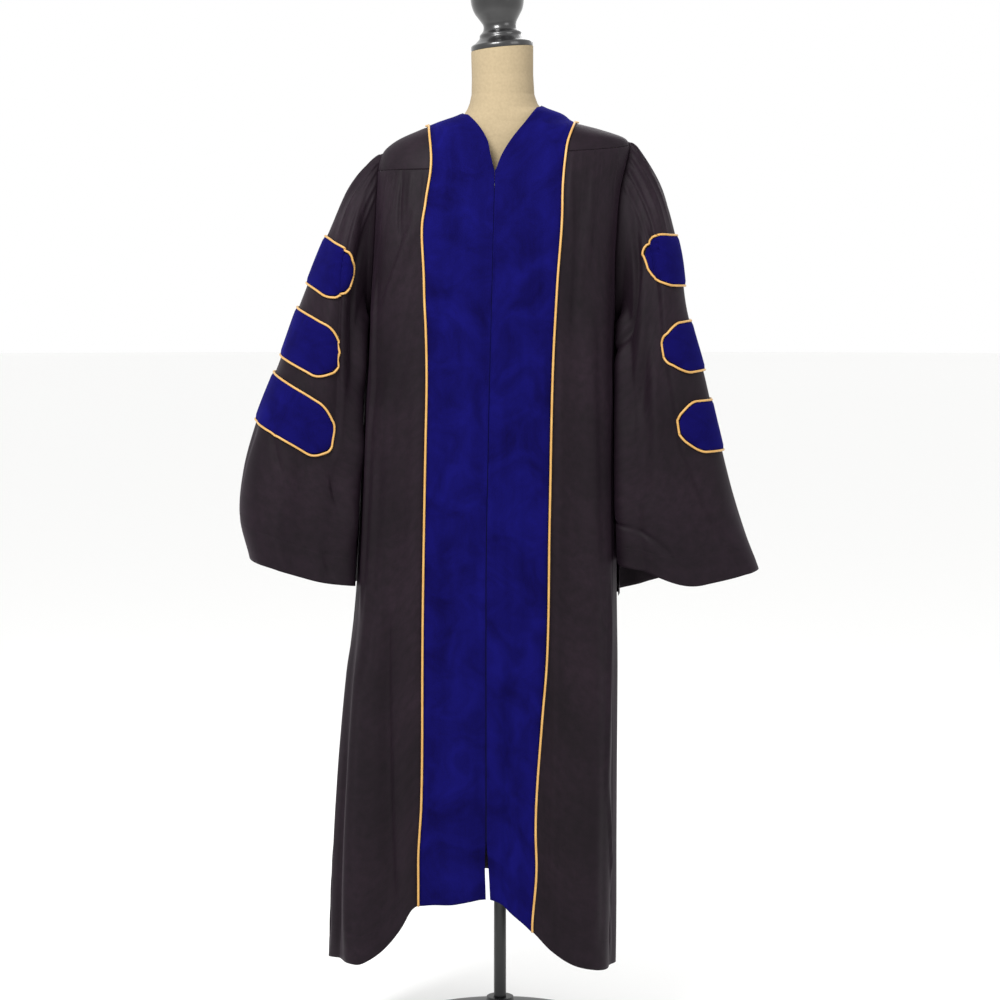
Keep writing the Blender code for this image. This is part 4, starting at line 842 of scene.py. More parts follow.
# %% [markdown]
# ## The velvet fronts
# Each velvet front is one long strip, about 105 mm wide, from the hem up the front and over
# the shoulder. It is cut here as two patches that share a row: below the point of the V it
# runs between centre front and the piping, and above it between the neckline and the piping.
# %% Cut the two velvet fronts
VELVET_WIDTH = 0.105
VELVET_LENGTH = 1.30
BELOW_V = 1.16
ABOVE_V = 0.14
velvet_across = shares_of(VELVET_WIDTH, 0.0028)
low_rows = shares_of(BELOW_V, 0.0048, (False, False))
high_rows = shares_of(ABOVE_V, 0.0030, (False, True))
for side in (LEFT, RIGHT):
    sign = side.sign
    join_z = side.neckline[0].z
    hem_inner = hem_z(front_edge_turn(side, 0.27))
    inner = between(hem_inner, join_z, low_rows)
    outer = between(piping_foot(side), side.yoke_z, low_rows)
    inner_turn = front_edge_turn(side, inner)
    outer_turn = piping_turn(side, outer) - sign * half_gap(outer, PIPED_GAP)
    hem_turn = between(inner_turn[0], outer_turn[0], velvet_across)
    join_turn = between(inner_turn[-1], outer_turn[-1], velvet_across)
    join = between(join_z, side.yoke_z, velvet_across)
    low = sheet_between(
        (hem_turn, hem_z(hem_turn)), (join_turn, join), (inner_turn, inner), (outer_turn, outer),
        velvet_across, low_rows,
    )
    neck = spaced(lambda z: neckline_turn(side, z), join_z, side.neck_z, high_rows)
    over = spaced(lambda z: piping_turn(side, z), side.yoke_z, side.ridge_z, high_rows)
    neck_turn = neckline_turn(side, neck)
    over_turn = piping_turn(side, over) - sign * half_gap(over, PIPED_GAP)
    neck_turn[0] = inner_turn[-1]
    neck_turn[-1] = over_turn[-1] = sign * (1 - RIDGE_GAP)
    ridge = between(side.neck_z, side.ridge_z, velvet_across)
    over[-1] = ridge[-1]
    high = sheet_between(
        (join_turn, join), (np.full(len(ridge), over_turn[-1]), ridge), (neck_turn, neck),
        (over_turn, over), velvet_across, high_rows,
    )
    turn = np.concatenate([low[0], high[0][1:]])
    z = np.concatenate([low[1], high[1][1:]])
    up = np.concatenate([low_rows * BELOW_V, BELOW_V + high_rows[1:] * ABOVE_V])
    piece = body_panel(
        f"velvet_front_{side.name}", turn, z, velvet_across, up / VELVET_LENGTH,
        (VELVET_WIDTH, VELVET_LENGTH), (1, 1, 0, 1), VELVET, (sign * SIDE_MAP, 0),
    )

# %% [markdown]
# ## The black fronts and yokes
# Between the piping and the side seam hangs the black front panel. It is gathered a little
# into a small yoke on the shoulder. The armhole cuts into its upper outer corner.
# %% Cut the black fronts and their yokes
FRONT_WIDTH = 0.25
FRONT_LENGTH = 1.26
BESIDE_ARMHOLE = 0.26
YOKE_WIDTH = 0.09
YOKE_LENGTH = 0.07
front_across = shares_of(FRONT_WIDTH, 0.0036)
skirt_rows = shares_of(1.0, 0.0052, (False, False))
arm_rows = shares_of(BESIDE_ARMHOLE, 0.0042, (False, True))
yoke_rows = shares_of(YOKE_LENGTH, 0.0025)
yoke_across = shares_of(YOKE_WIDTH, 0.0030)
for side in (LEFT, RIGHT):
    sign = side.sign
    under = side.armhole_z - side.armhole_half
    side_hem = hem_z(float(sign))
    skirt = between(side_hem, under, skirt_rows)
    arm_turn, arm_z = armhole(side, side.yoke_at * arm_rows[1:])
    outer = np.concatenate([skirt, arm_z])
    outer_turn = sign * (np.concatenate([np.ones_like(skirt), arm_turn]) - half_gap(outer))
    inner = np.concatenate([
        between(piping_foot(side), under, skirt_rows),
        between(under, side.yoke_z - SEAM_GAP / 2, arm_rows[1:]),
    ])
    inner_turn = piping_turn(side, inner) + sign * half_gap(inner, PIPED_GAP)
    outer[-1] -= SEAM_GAP / 2
    hem_turn = between(inner_turn[0], outer_turn[0], front_across)
    top_turn = between(inner_turn[-1], outer_turn[-1], front_across)
    top = between(inner[-1], outer[-1], front_across)
    up = np.concatenate([skirt_rows, 1 + arm_rows[1:] * BESIDE_ARMHOLE]) / FRONT_LENGTH
    turn, z = sheet_between(
        (hem_turn, hem_z(hem_turn)), (top_turn, top), (inner_turn, inner), (outer_turn, outer),
        front_across, up,
    )
    piece = body_panel(
        f"front_{side.name}", turn, z, front_across, up, (FRONT_WIDTH, FRONT_LENGTH),
        (1, 1, 0, 0.4), BLACK, (sign * SIDE_MAP, 0),
    )

    yoke_low = side.yoke_z + SEAM_GAP / 2
    inner = spaced(lambda z: piping_turn(side, z), yoke_low, side.ridge_z, yoke_rows)
    inner_turn = piping_turn(side, inner) + sign * half_gap(inner, PIPED_GAP)
    outer_turn, outer = armhole(side, between(side.yoke_at, 180, yoke_rows))
    outer_turn = sign * (outer_turn - half_gap(outer))
    outer[0] += SEAM_GAP / 2
    inner_turn[-1] = outer_turn[-1] = sign * (1 - RIDGE_GAP)
    seam_turn = between(inner_turn[0], outer_turn[0], yoke_across)
    seam = between(inner[0], outer[0], yoke_across)
    ridge = between(inner[-1], outer[-1], yoke_across)
    turn, z = sheet_between(
        (seam_turn, seam), (np.full(len(ridge), outer_turn[-1]), ridge), (inner_turn, inner),
        (outer_turn, outer), yoke_across, yoke_rows,
    )
    piece = body_panel(
        f"yoke_front_{side.name}", turn, z, yoke_across, yoke_rows, (YOKE_WIDTH, YOKE_LENGTH),
        (1, 1, 0.4, 1), BLACK, (0, ABOVE_HEM_LINE),
    )

# %% [markdown]
# ## The back
# The photograph shows none of the back, so it is made as such gowns are: a velvet band
# behind the neck that joins the two fronts, a smooth yoke across the shoulders, and a full
# back panel gathered into it, which falls in soft flutes to the hem.
# %% Cut the velvet band behind the neck
BAND_WIDTH = 0.34
BAND_DEPTH = 0.055
band_across = shares_of(BAND_WIDTH, 0.0030)
band_rows = shares_of(BAND_DEPTH, 0.0025)
turn = 1 + RIDGE_GAP + (2 - 2 * RIDGE_GAP) * band_across
low = band_edge(turn, False) + SEAM_GAP / 2
high = band_edge(turn, True)
z = low * (1 - band_rows[:, None]) + high * band_rows[:, None]
piece = body_panel(
    "velvet_back_neck", turn, z, band_across, band_rows, (BAND_WIDTH, BAND_DEPTH),
    (1, 1, 1, 1), VELVET,
)


# %% Cut the back yoke
BACK_YOKE_WIDTH = 0.42
BACK_YOKE_DEPTH = 0.14
YOKE_ARM = 0.10
YOKE_RIDGE = 0.08


def yoke_side(side, left, arm, ridge):
    """The armhole edge and the shoulder ridge of the back yoke, from the gathers up."""
    turn, z = armhole(side, between(side.back_yoke_at, 180, arm), back=True)
    turn = turn + half_gap(z)
    turn[-1] = 1 + RIDGE_GAP
    z[0] += SEAM_GAP / 2
    shoulder = side.armhole_z + side.armhole_half
    turn = np.concatenate([turn, np.full(len(ridge) - 1, 1 + RIDGE_GAP)])
    z = np.concatenate([z, between(shoulder, side.ridge_z, ridge[1:])])
    return (4 - turn if left else turn), z


yoke_arm = shares_of(YOKE_ARM, 0.004, (True, False))
yoke_ridge = shares_of(YOKE_RIDGE, 0.004, (False, True))
yoke_across = shares_of(BACK_YOKE_WIDTH, 0.0036)
yoke_up = np.concatenate([yoke_arm * YOKE_ARM, YOKE_ARM + yoke_ridge[1:] * YOKE_RIDGE])
yoke_up /= YOKE_ARM + YOKE_RIDGE
right = yoke_side(RIGHT, False, yoke_arm, yoke_ridge)
left = yoke_side(LEFT, True, yoke_arm, yoke_ridge)
low_turn = between(right[0][0], left[0][0], yoke_across)
top_turn = between(right[0][-1], left[0][-1], yoke_across)
turn, z = sheet_between(
    (low_turn, back_seam(low_turn) + SEAM_GAP / 2),
    (top_turn, band_edge(top_turn, False) - SEAM_GAP / 2),
    right, left, yoke_across, yoke_up,
)
piece = body_panel(
    "yoke_back", turn, z, yoke_across, yoke_up, (BACK_YOKE_WIDTH, BACK_YOKE_DEPTH),
    (1, 1, 1, 1), BLACK, (0, ABOVE_HEM_LINE),
)

# %% [markdown]
# The back panel's rows are spread by height, so that they stay even where the armhole turns
# in over the shoulder blade, and none of them crosses the next.
# %% Cut the back panel
BACK_WIDTH = 0.92
BACK_LENGTH = 1.21
LEAST_STEP = 0.0001
side_rows = shares_of(1.0, 0.0062, (False, False))
shoulder_rows = shares_of(0.21, 0.0050, (False, True))
back_across = shares_of(BACK_WIDTH, 0.0042)
edges = []
for side in (RIGHT, LEFT):
    under = side.armhole_z - side.armhole_half
    side_hem = hem_z(float(side.sign))
    turn, z = armhole(side, side.back_yoke_at * shoulder_rows[1:], back=True)
    z = np.concatenate([between(side_hem, under, side_rows), z])
    turn = np.concatenate([np.ones_like(side_rows), turn]) + half_gap(z)
    z[-1] -= SEAM_GAP / 2
    edges.append((turn if side.sign > 0 else 4 - turn, z))
right, left = edges
up = (right[1] + left[1]) / 2
up = (up - up[0]) / (up[-1] - up[0])
hem_turn = between(right[0][0], left[0][0], back_across)
hem = hem_z(hem_turn)
hem[-1] = left[1][0]
top_turn = between(right[0][-1], left[0][-1], back_across)
turn, z = sheet_between(
    (hem_turn, hem), (top_turn, back_seam(top_turn) - SEAM_GAP / 2), right, left,
    back_across, up,
)
steps = np.maximum(np.diff(z, axis=0), LEAST_STEP)
steps *= (z[-1] - z[0]) / steps.sum(axis=0)
z = z[0] + np.concatenate([0 * steps[:1], np.cumsum(steps, axis=0)])
piece = body_panel(
    "back_panel", turn, z, back_across, up, (BACK_WIDTH, BACK_LENGTH), (1, 1, 0, 1), BLACK,
)

# %% [markdown]
# ## The sleeves
# A bell sleeve is a tube: narrow where it is gathered into the armhole, and wide at the
# cuff. It is a second surface, read by the share of the way round it, from the inner line
# over the front, and by how far along it lies, from armhole to cuff. Its first ring lies
# just inside the armhole of the body, so the seam closes. Of the folds, the one in front at
# 0.11 and the one behind at 0.89 swell towards the body and close the gap beside it.
# %% Sections and folds of the sleeves
Section = namedtuple("Section", "along outer_x outer_z inner_x inner_z front back square")
SLEEVE_LEFT = (
    Section(0.05, 0.214, 1.436, 0.2215, 1.173, 0.062, 0.058, 2.0),
    Section(0.13, 0.237, 1.402, 0.2200, 1.150, 0.076, 0.070, 2.1),
    Section(0.27, 0.279, 1.314, 0.2195, 1.105, 0.086, 0.090, 2.3),
    Section(0.43, 0.319, 1.216, 0.2210, 1.050, 0.092, 0.099, 2.4),
    Section(0.57, 0.355, 1.118, 0.2240, 0.985, 0.096, 0.106, 2.5),
    Section(0.71, 0.391, 1.026, 0.2275, 0.915, 0.101, 0.112, 2.6),
    Section(0.83, 0.413, 0.945, 0.2305, 0.855, 0.106, 0.114, 2.6),
    Section(0.92, 0.420, 0.880, 0.2330, 0.808, 0.108, 0.112, 2.6),
    Section(1.00, 0.404, 0.812, 0.2365, 0.757, 0.112, 0.106, 2.6),
)
SLEEVE_RIGHT = (
    Section(0.05, 0.229, 1.455, 0.1995, 1.167, 0.062, 0.060, 2.0),
    Section(0.13, 0.253, 1.409, 0.1965, 1.146, 0.076, 0.072, 2.1),
    Section(0.27, 0.281, 1.315, 0.1930, 1.105, 0.092, 0.092, 2.5),
    Section(0.43, 0.298, 1.205, 0.1910, 1.048, 0.100, 0.100, 2.7),
    Section(0.57, 0.324, 1.110, 0.1905, 0.980, 0.106, 0.107, 2.9),
    Section(0.71, 0.346, 1.018, 0.1915, 0.905, 0.110, 0.113, 3.0),
    Section(0.83, 0.371, 0.916, 0.1920, 0.840, 0.112, 0.116, 3.0),
    Section(0.92, 0.393, 0.850, 0.1925, 0.785, 0.112, 0.116, 3.0),
    Section(1.00, 0.415, 0.792, 0.1930, 0.738, 0.110, 0.114, 2.8),
)
SLEEVE_FOLDS_LEFT = (
    Fold(0.375, 0.20, 0.08, 0.62, 0.004, 0.006, 0.075),
    Fold(0.290, 0.13, -0.10, 0.50, -0.004, -0.003, 0.075),
    Fold(0.450, 0.46, -0.10, 0.24, 0.004, 0.002, 0.040),
    Fold(0.250, 0.20, 0.62, 1.20, -0.004, -0.010, 0.080),
    Fold(0.380, 0.38, 0.62, 1.20, 0.002, 0.007, 0.090),
    Fold(0.570, 0.60, -0.10, 0.50, 0.004, 0.003, 0.050),
    Fold(0.660, 0.70, -0.10, 1.20, -0.004, -0.011, 0.070),
    Fold(0.760, 0.80, 0.10, 1.20, 0.003, 0.010, 0.070),
    Fold(0.378, 0.166, 0.05, 0.70, 0.0066, 0.0092, 0.072, -0.07, -0.72),
    Fold(0.300, 0.100, 0.04, 0.60, -0.0050, -0.0050, 0.050, -0.05, 0.2),
    Fold(0.110, 0.030, 0.05, 0.90, -0.0060, -0.0070, 0.050),
    Fold(0.350, 0.288, 0.68, 0.79, -0.0034, -0.0024, 0.016, 0.005, 0.4),
    Fold(0.300, 0.250, 0.70, 0.86, 0.0030, 0.0018, 0.030),
    Fold(0.178, 0.126, 0.69, 0.84, -0.0050, -0.0032, 0.018, 0.00, -0.4),
    Fold(0.140, 0.100, 0.70, 0.90, 0.0034, 0.0030, 0.026),
    Fold(0.172, 0.142, 0.91, 1.00, -0.0036, -0.0026, 0.016),
    Fold(0.420, 0.470, 0.66, 1.10, -0.0034, -0.0044, 0.034),
    Fold(0.290, 0.300, 0.82, 1.20, 0.0024, 0.0040, 0.030),
    Fold(0.890, 0.890, 0.02, 1.20, 0.0130, 0.0130, 0.065),
    Fold(0.610, 0.640, 0.30, 1.20, 0.0020, 0.0040, 0.030),
    Fold(0.820, 0.800, 0.45, 1.20, -0.0020, -0.0040, 0.026),
    Fold(0.112, 0.110, 0.03, 1.20, 0.0180, 0.0200, 0.055),
)
SLEEVE_FOLDS_RIGHT = (
    Fold(0.400, 0.16, -0.10, 0.55, -0.004, -0.006, 0.075),
    Fold(0.400, 0.39, 0.22, 1.20, 0.003, 0.007, 0.070),
    Fold(0.300, 0.27, 0.55, 1.20, -0.003, -0.009, 0.080),
    Fold(0.470, 0.47, -0.10, 0.22, -0.003, -0.002, 0.040),
    Fold(0.580, 0.60, -0.10, 0.45, 0.004, 0.003, 0.050),
    Fold(0.660, 0.69, -0.10, 1.20, -0.004, -0.011, 0.070),
    Fold(0.770, 0.80, 0.10, 1.20, 0.003, 0.010, 0.070),
    Fold(0.360, 0.050, 0.02, 0.30, -0.0075, -0.0060, 0.045, -0.03, 0.2),
    Fold(0.330, 0.296, 0.06, 0.76, 0.0040, 0.0078, 0.060, -0.01, 0.58),
    Fold(0.290, 0.400, 0.66, 1.06, 0.0066, 0.0080, 0.045, -0.01, 0.7),
    Fold(0.060, 0.080, 0.20, 1.20, 0.0040, 0.0060, 0.045),
    Fold(0.125, 0.235, 0.84, 0.96, -0.0045, -0.0032, 0.022, 0.01),
    Fold(0.020, 0.165, 0.75, 0.89, -0.0040, -0.0030, 0.022, 0.01),
    Fold(0.180, 0.160, 0.34, 0.80, -0.0036, -0.0040, 0.040, 0.01),
    Fold(0.230, 0.210, 0.30, 0.70, 0.0024, 0.0024, 0.030, 0.01),
    Fold(0.450, 0.460, 0.80, 1.20, -0.0024, -0.0034, 0.030),
    Fold(0.890, 0.890, 0.02, 1.20, 0.0200, 0.0200, 0.050),
    Fold(0.610, 0.640, 0.30, 1.20, 0.0020, 0.0040, 0.030),
    Fold(0.820, 0.800, 0.45, 1.20, -0.0020, -0.0040, 0.026),
    Fold(0.110, 0.108, 0.03, 1.20, 0.0190, 0.0190, 0.042),
)
HEAD_BLEND = 0.16
SLEEVE_INSET = 0.0022
CUFF_LIFT_AT = 0.06
CUFF_LIFT_NARROW = 0.09
CUFF_LIFT_WIDE = 0.22
CUFF_LIFT_FROM = 0.72
BAR_HALF_WIDTH = 0.038
BAR_PLANES = np.linspace(-1.2, 1.2, 5)
HEAD_PLACES = np.linspace(0, 1, 721)
QUARTER_AT_ARMHOLE = 0.28


def head_gathers(first, last, count, reach, rise):
    """Gathers of the sleeve's head, which run out from the armhole seam."""
    pitch = (last - first) / count
    made = []
    for k in range(count):
        at = first + pitch * (k + 0.5 + uneven.uniform(-0.2, 0.2))
        high = rise * uneven.uniform(0.6, 1.1)
        low = reach * uneven.uniform(0.5, 1.0)
        drift = (at - 0.5) * 1.2 * low / reach + pitch * uneven.uniform(-0.6, 0.6)
        made.append(Fold(at, at + drift, -0.06, low, high, high * 0.2, pitch * 0.42))
    return tuple(made)


# %% The sleeve's surface
class Sleeve:
    """One sleeve, read by share of girth and by along."""

    def __init__(self, side, table, folds, gathered, lift):
        self.side, self.table, self.lift = side, table, lift
        self.folds, self.gathered = folds, gathered
        self.ring = self.head(HEAD_PLACES)

    def head(self, share):
        """The ring at the armhole, just inside the hole in the gown's body."""
        angle = abs((share * 360 + 180) % 360 - 180)
        front = share % 1 < 0.5
        ahead = armhole(self.side, angle)
        behind = armhole(self.side, angle, back=True)
        inward = np.radians(angle)
        turn = np.where(front, ahead[0], behind[0])
        z = ahead[1] + SLEEVE_INSET * np.cos(inward)
        inset = SLEEVE_INSET / QUARTER_AT_ARMHOLE * np.sin(inward)
        turn = turn + np.where(front, 1, -1) * inset
        return body(self.side.sign * turn, z)

    def section(self, share, along):
        """The sleeve's own section."""
        toward_x, level = oval(2 + 4 * share, read(self.table, "square", along, key="along"))
        sign = self.side.sign
        get = {name: read(self.table, name, along, key="along") for name in Section._fields[1:7]}
        half_x = sign * (get["outer_x"] - get["inner_x"]) / 2
        half_z = (get["outer_z"] - get["inner_z"]) / 2
        x = sign * (get["outer_x"] + get["inner_x"]) / 2 + half_x * level
        z = (get["outer_z"] + get["inner_z"]) / 2 + half_z * level
        y = toward_x * np.where(toward_x < 0, get["front"], get["back"])
        return np.stack([x, y, z], axis=-1)

    def plain(self, share, along):
        """A point without folds: the head's ring eased into the sections, with the cuff lifted."""
        share, along = np.broadcast_arrays(np.asarray(share, float), np.asarray(along, float))
        away = (1 - (1 - np.clip(along / HEAD_BLEND, 0, 1)) ** 2)[..., None]
        columns = [np.interp(share % 1, HEAD_PLACES, column) for column in self.ring.T]
        head = np.stack(columns, axis=-1)
        point = head * (1 - away) + self.section(share, along) * away
        near = (share - CUFF_LIFT_AT + 0.5) % 1 - 0.5
        width = np.where(near < 0, CUFF_LIFT_NARROW, CUFF_LIFT_WIDE)
        bump = 0.5 + 0.5 * np.cos(math.pi * np.clip(near / width, -1, 1))
        point[..., 2] += self.lift * bump * ease((along - CUFF_LIFT_FROM) / (1 - CUFF_LIFT_FROM))
        return point

    def normal(self, share, along, read_at):
        """Which way the surface faces there."""
        along = np.clip(along, SHORT, 1 - SHORT)
        round_it = read_at(share + SHORT, along) - read_at(share - SHORT, along)
        down = read_at(share, along + SHORT) - read_at(share, along - SHORT)
        normal = -self.side.sign * np.cross(round_it, down)
        return normal / np.linalg.norm(normal, axis=-1, keepdims=True)

    def folded(self, share, along):
        """A point with its folds, its gathers and a slow ripple."""
        share, along = np.broadcast_arrays(np.asarray(share, float), np.asarray(along, float))
        rise = stand_out(share, along, self.folds, period=1) * ease((along - 0.02) / 0.10)
        rise += stand_out(share, along, self.gathered, period=1) * ease((along - 0.004) / 0.02)
        girth = 2 * math.pi * share
        waves = np.sin(5 * girth + 4 * np.sin(3 * along)) * np.sin(9 * along + girth)
        waves += 0.6 * np.sin(9 * girth - 5 * along) * np.sin(17 * along + 2 * girth)
        rise += 0.0009 * waves * ease((along - 0.05) / 0.15)
        return self.plain(share, along) + self.normal(share, along, self.plain) * rise[..., None]

    def at(self, share, along, out=0.0):
        """A point of the sleeve, moved out square to the cloth."""
        share, along = np.broadcast_arrays(np.asarray(share, float), np.asarray(along, float))
        out = np.asarray(out)[..., None]
        return self.folded(share, along) + self.normal(share, along, self.folded) * out

    def slant(self, middle, tilt):
        """How a bar lies on the sleeve, in planes nearly square to the outer line at its middle.

        Gives the shares of girth, and for each of five planes the along there and the
        length round from the outer line.
        """
        ends = self.plain(0.5, np.array([middle - 0.02, middle + 0.02]))
        down = ends[1] - ends[0]
        lean = math.atan2(abs(down[0]), abs(down[2])) + math.radians(tilt)
        down = np.array([self.side.sign * math.sin(lean), 0.0, -math.cos(lean)])
        start = self.plain(0.5, middle)
        share = np.linspace(0.12, 0.88, 153)
        shift = BAR_PLANES * BAR_HALF_WIDTH
        low = np.full((len(shift), len(share)), 0.01)
        high = np.full(low.shape, 0.99)
        for _ in range(14):  # each halving doubles how finely along is known
            half = (low + high) / 2
            below = (self.plain(share[None], half) - start) @ down > shift[:, None]
            high = np.where(below, half, high)
            low = np.where(below, low, half)
        points = self.folded(share[None], low)
        steps = np.linalg.norm(np.diff(points, axis=1), axis=-1)
        length = np.concatenate([0 * steps[:, :1], np.cumsum(steps, axis=1)], axis=1)
        middle = len(share) // 2
        return share, low, length - length[:, middle : middle + 1]


left_head = head_gathers(0.36, 0.66, 13, 0.24, 0.0040)
right_head = head_gathers(0.36, 0.66, 13, 0.30, 0.0046)
sleeves = {
    "left": Sleeve(LEFT, SLEEVE_LEFT, SLEEVE_FOLDS_LEFT, left_head, 0.006),
    "right": Sleeve(RIGHT, SLEEVE_RIGHT, SLEEVE_FOLDS_RIGHT, right_head, 0.066),
}
for name, sleeve in sleeves.items():
    steps = np.linalg.norm(np.diff(sleeve.ring, axis=0), axis=1)
    print("armhole,", name, "m round:", round(float(steps.sum()), 3))

# %% [markdown]
# Each sleeve is sewn up along its inner line, where the grid's first and last columns meet.
# %% Make the two sleeves
SLEEVE_GIRTH = 0.62
SLEEVE_LENGTH = 0.66
HEAD_TUCK = -0.0008
HEAD_TUCK_REACH = 0.008
girth_shares = np.linspace(0, 1, 233)
sleeve_rows = shares_of(SLEEVE_LENGTH, 0.0044, (True, False))
for name, sleeve in sleeves.items():
    tuck = HEAD_TUCK * (1 - ease(sleeve_rows / HEAD_TUCK_REACH))[:, None]
    points = sleeve.at(girth_shares[None], sleeve_rows[:, None], tuck)
    points[:, -1] = points[:, 0]
    piece = cloth_piece(
        f"sleeve_{name}", points, girth_shares[None] * SLEEVE_GIRTH,
        (1 - sleeve_rows[:, None]) * SLEEVE_LENGTH, BLACK, tube=True,
    )

# %% [markdown]
# ## Velvet bars and their piping
# A doctoral gown has three velvet bars round each sleeve, each cut to a blunt point and
# edged with piping. Each bar here lies on the sleeve's own folds, a little above the cloth,
# and is slightly plump, because velvet is thicker than the cloth under it. Its ends bend away
# from the armhole seam, so that they stay clear of it. The piping is a closed round cord
# that follows the bar's edge.
# %% Lay the bars on the sleeves
Bar = namedtuple("Bar", "along forward tilt")
BARS = {
    "left": (Bar(0.319, -0.006, 9), Bar(0.497, 0.021, 8), Bar(0.648, 0.059, 8)),
    "right": (Bar(0.318, -0.009, -8), Bar(0.514, 0.000, -10), Bar(0.706, 0.012, -13)),
}
BAR_HALF_LENGTH = 0.134
BAR_CHAMFER = 0.026
BAR_TIP_HALF_WIDTH = 0.015
BAR_ROUNDING = 0.45
BAR_TIP_ROUND = (0.006, 0.007)
BAR_NEAREST = 0.06  # the least share along at which a bar may lie
BAR_NEAREST_BLEND = 0.03
BAR_LIFT = 0.0022
BAR_CROWN = 0.0012
BAR_CROWN_REACH = 0.006
BAR_CLOTH = Cloth(velvet, 0.0015, "velvet")
CORD_RADIUS = 0.0018
CORD_SIDES = 10
OUTWARD = 0.004  # how far out the second path lies that shows a cord which way is out


def half_width(from_end):
    """A bar's half width, by the distance from its end: a blunt tip that widens to full."""
    tip = BAR_TIP_HALF_WIDTH
    share = from_end / BAR_CHAMFER
    over = np.clip(share - 1 + BAR_ROUNDING, 0, 2 * BAR_ROUNDING)
    rounded = np.minimum(share, 1 + BAR_ROUNDING) - over**2 / (4 * BAR_ROUNDING)
    cut, reach = BAR_TIP_ROUND
    return between(tip, BAR_HALF_WIDTH, rounded) - cut * np.clip(1 - from_end / reach, 0, 1) ** 2


def cord_piece(name, path, outside, finish, closed=True):
    """A round cord along a path. outside is the path moved out from the cloth."""
    if closed:
        path, outside = np.vstack([path, path[:1]]), np.vstack([outside, outside[:1]])
        ahead = np.roll(path[:-1], -1, axis=0) - np.roll(path[:-1], 1, axis=0)
        ahead = np.vstack([ahead, ahead[:1]])
    else:
        ahead = np.gradient(path, axis=0)
    ahead /= np.linalg.norm(ahead, axis=1, keepdims=True)
    away = outside - path
    away -= ahead * np.sum(away * ahead, axis=1, keepdims=True)
    away /= np.linalg.norm(away, axis=1, keepdims=True)
    beside = np.cross(ahead, away)
    angle = np.linspace(0, 2 * math.pi, CORD_SIDES + 1)
    turned = angle[None, :, None]
    ring = np.cos(turned) * away[:, None] + np.sin(turned) * beside[:, None]
    points = path[:, None] + ring * CORD_RADIUS
    points[:, -1] = points[:, 0]
    steps = np.linalg.norm(np.diff(path, axis=0), axis=1)
    run = np.concatenate([[0], np.cumsum(steps)])
    round_it, along = angle[None] * CORD_RADIUS, run[:, None]
    piece = grid_piece(name, points, round_it, along, finish, tube=True, fill=not closed)
    print(piece.name, "length, m:", round(float(run[-1]), 3))
    return piece


for name, sleeve in sleeves.items():
    for number, bar in enumerate(BARS[name], start=1):
        share_table, along_table, length = sleeve.slant(bar.along, bar.tilt)
        clear = along_table - BAR_NEAREST
        along_table = BAR_NEAREST + (clear + np.hypot(clear, BAR_NEAREST_BLEND)) / 2
        reach_table = length[len(BAR_PLANES) // 2] + bar.forward

        def place_on(reach, row):
            """Share and along at a reach along the bar and a row across it, -1 to 1."""
            reach, row = np.broadcast_arrays(reach, row)
            share = np.interp(reach, reach_table, share_table)
            rows = np.stack([np.interp(share, share_table, plane) for plane in along_table])
            step = (row - BAR_PLANES[0]) / (BAR_PLANES[1] - BAR_PLANES[0])
            step = np.clip(step, 0, len(BAR_PLANES) - 1.0001)
            k = step.astype(int)
            first = np.take_along_axis(rows, k[None], axis=0)[0]
            second = np.take_along_axis(rows, k[None] + 1, axis=0)[0]
            return share, between(first, second, step - k)

        reach = BAR_HALF_LENGTH * np.sin(np.linspace(-1, 1, 101) * math.pi / 2)
        rows = np.linspace(-1, 1, 29)
        wide = half_width(BAR_HALF_LENGTH - abs(reach))
        row = rows[:, None] * wide[None] / BAR_HALF_WIDTH
        share, along = place_on(reach[None], row)
        from_end = (BAR_HALF_LENGTH - abs(reach))[None]
        edge = np.minimum(wide[None] * (1 - abs(rows[:, None])), from_end)
        plump = BAR_LIFT + BAR_CROWN * ease(edge / BAR_CROWN_REACH)
        points = sleeve.at(share, along, CLOTH_WALL / 2 + plump)
        bar_name = f"velvet_bar_{name}_{number}"
        piece = cloth_piece(
            bar_name, points, row * BAR_HALF_WIDTH + 0.05, reach[None] + 0.2, BAR_CLOTH,
        )

        beyond = CORD_RADIUS + 0.0006
        around = np.sin(np.linspace(-1, 1, 131) * math.pi / 2)
        reach = around * (BAR_HALF_LENGTH + beyond)
        wide = half_width(np.maximum(BAR_HALF_LENGTH + beyond - abs(reach), 0)) + beyond * 0.8
        tips = np.linspace(-1, 1, 9)[1:-1]
        loop_reach = np.concatenate(
            [reach, np.full(len(tips), reach[-1]), reach[::-1], np.full(len(tips), reach[0])]
        )
        loop_wide = np.concatenate([-wide, tips * wide[-1], wide[::-1], -tips * wide[0]])
        share, along = place_on(loop_reach, loop_wide / BAR_HALF_WIDTH)
        lift = CLOTH_WALL / 2 + CORD_RADIUS + 0.0009
        path = sleeve.at(share, along, lift)
        outside = sleeve.at(share, along, lift + OUTWARD)
        cord_name = f"bar_piping_{name}_{number}"
        cord = cord_piece(f"{cord_name}_cord", path, outside, piping)
        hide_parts(cord_name)

# %% [markdown]
# ## The long piping
# One cord runs up one front seam, over the shoulder, round behind the neck and down the
# other side. It sits in the seam between velvet and black cloth, half sunk in it.
# %% Run the front piping
def seam_up(side):
    """Turns and heights along one front seam, hem to shoulder ridge."""
    shares = np.linspace(0, 1, 430)
    z = spaced(lambda z: piping_turn(side, z), piping_foot(side), side.ridge_z, shares)
    return np.stack([piping_turn(side, z), z], axis=-1)[:-1]


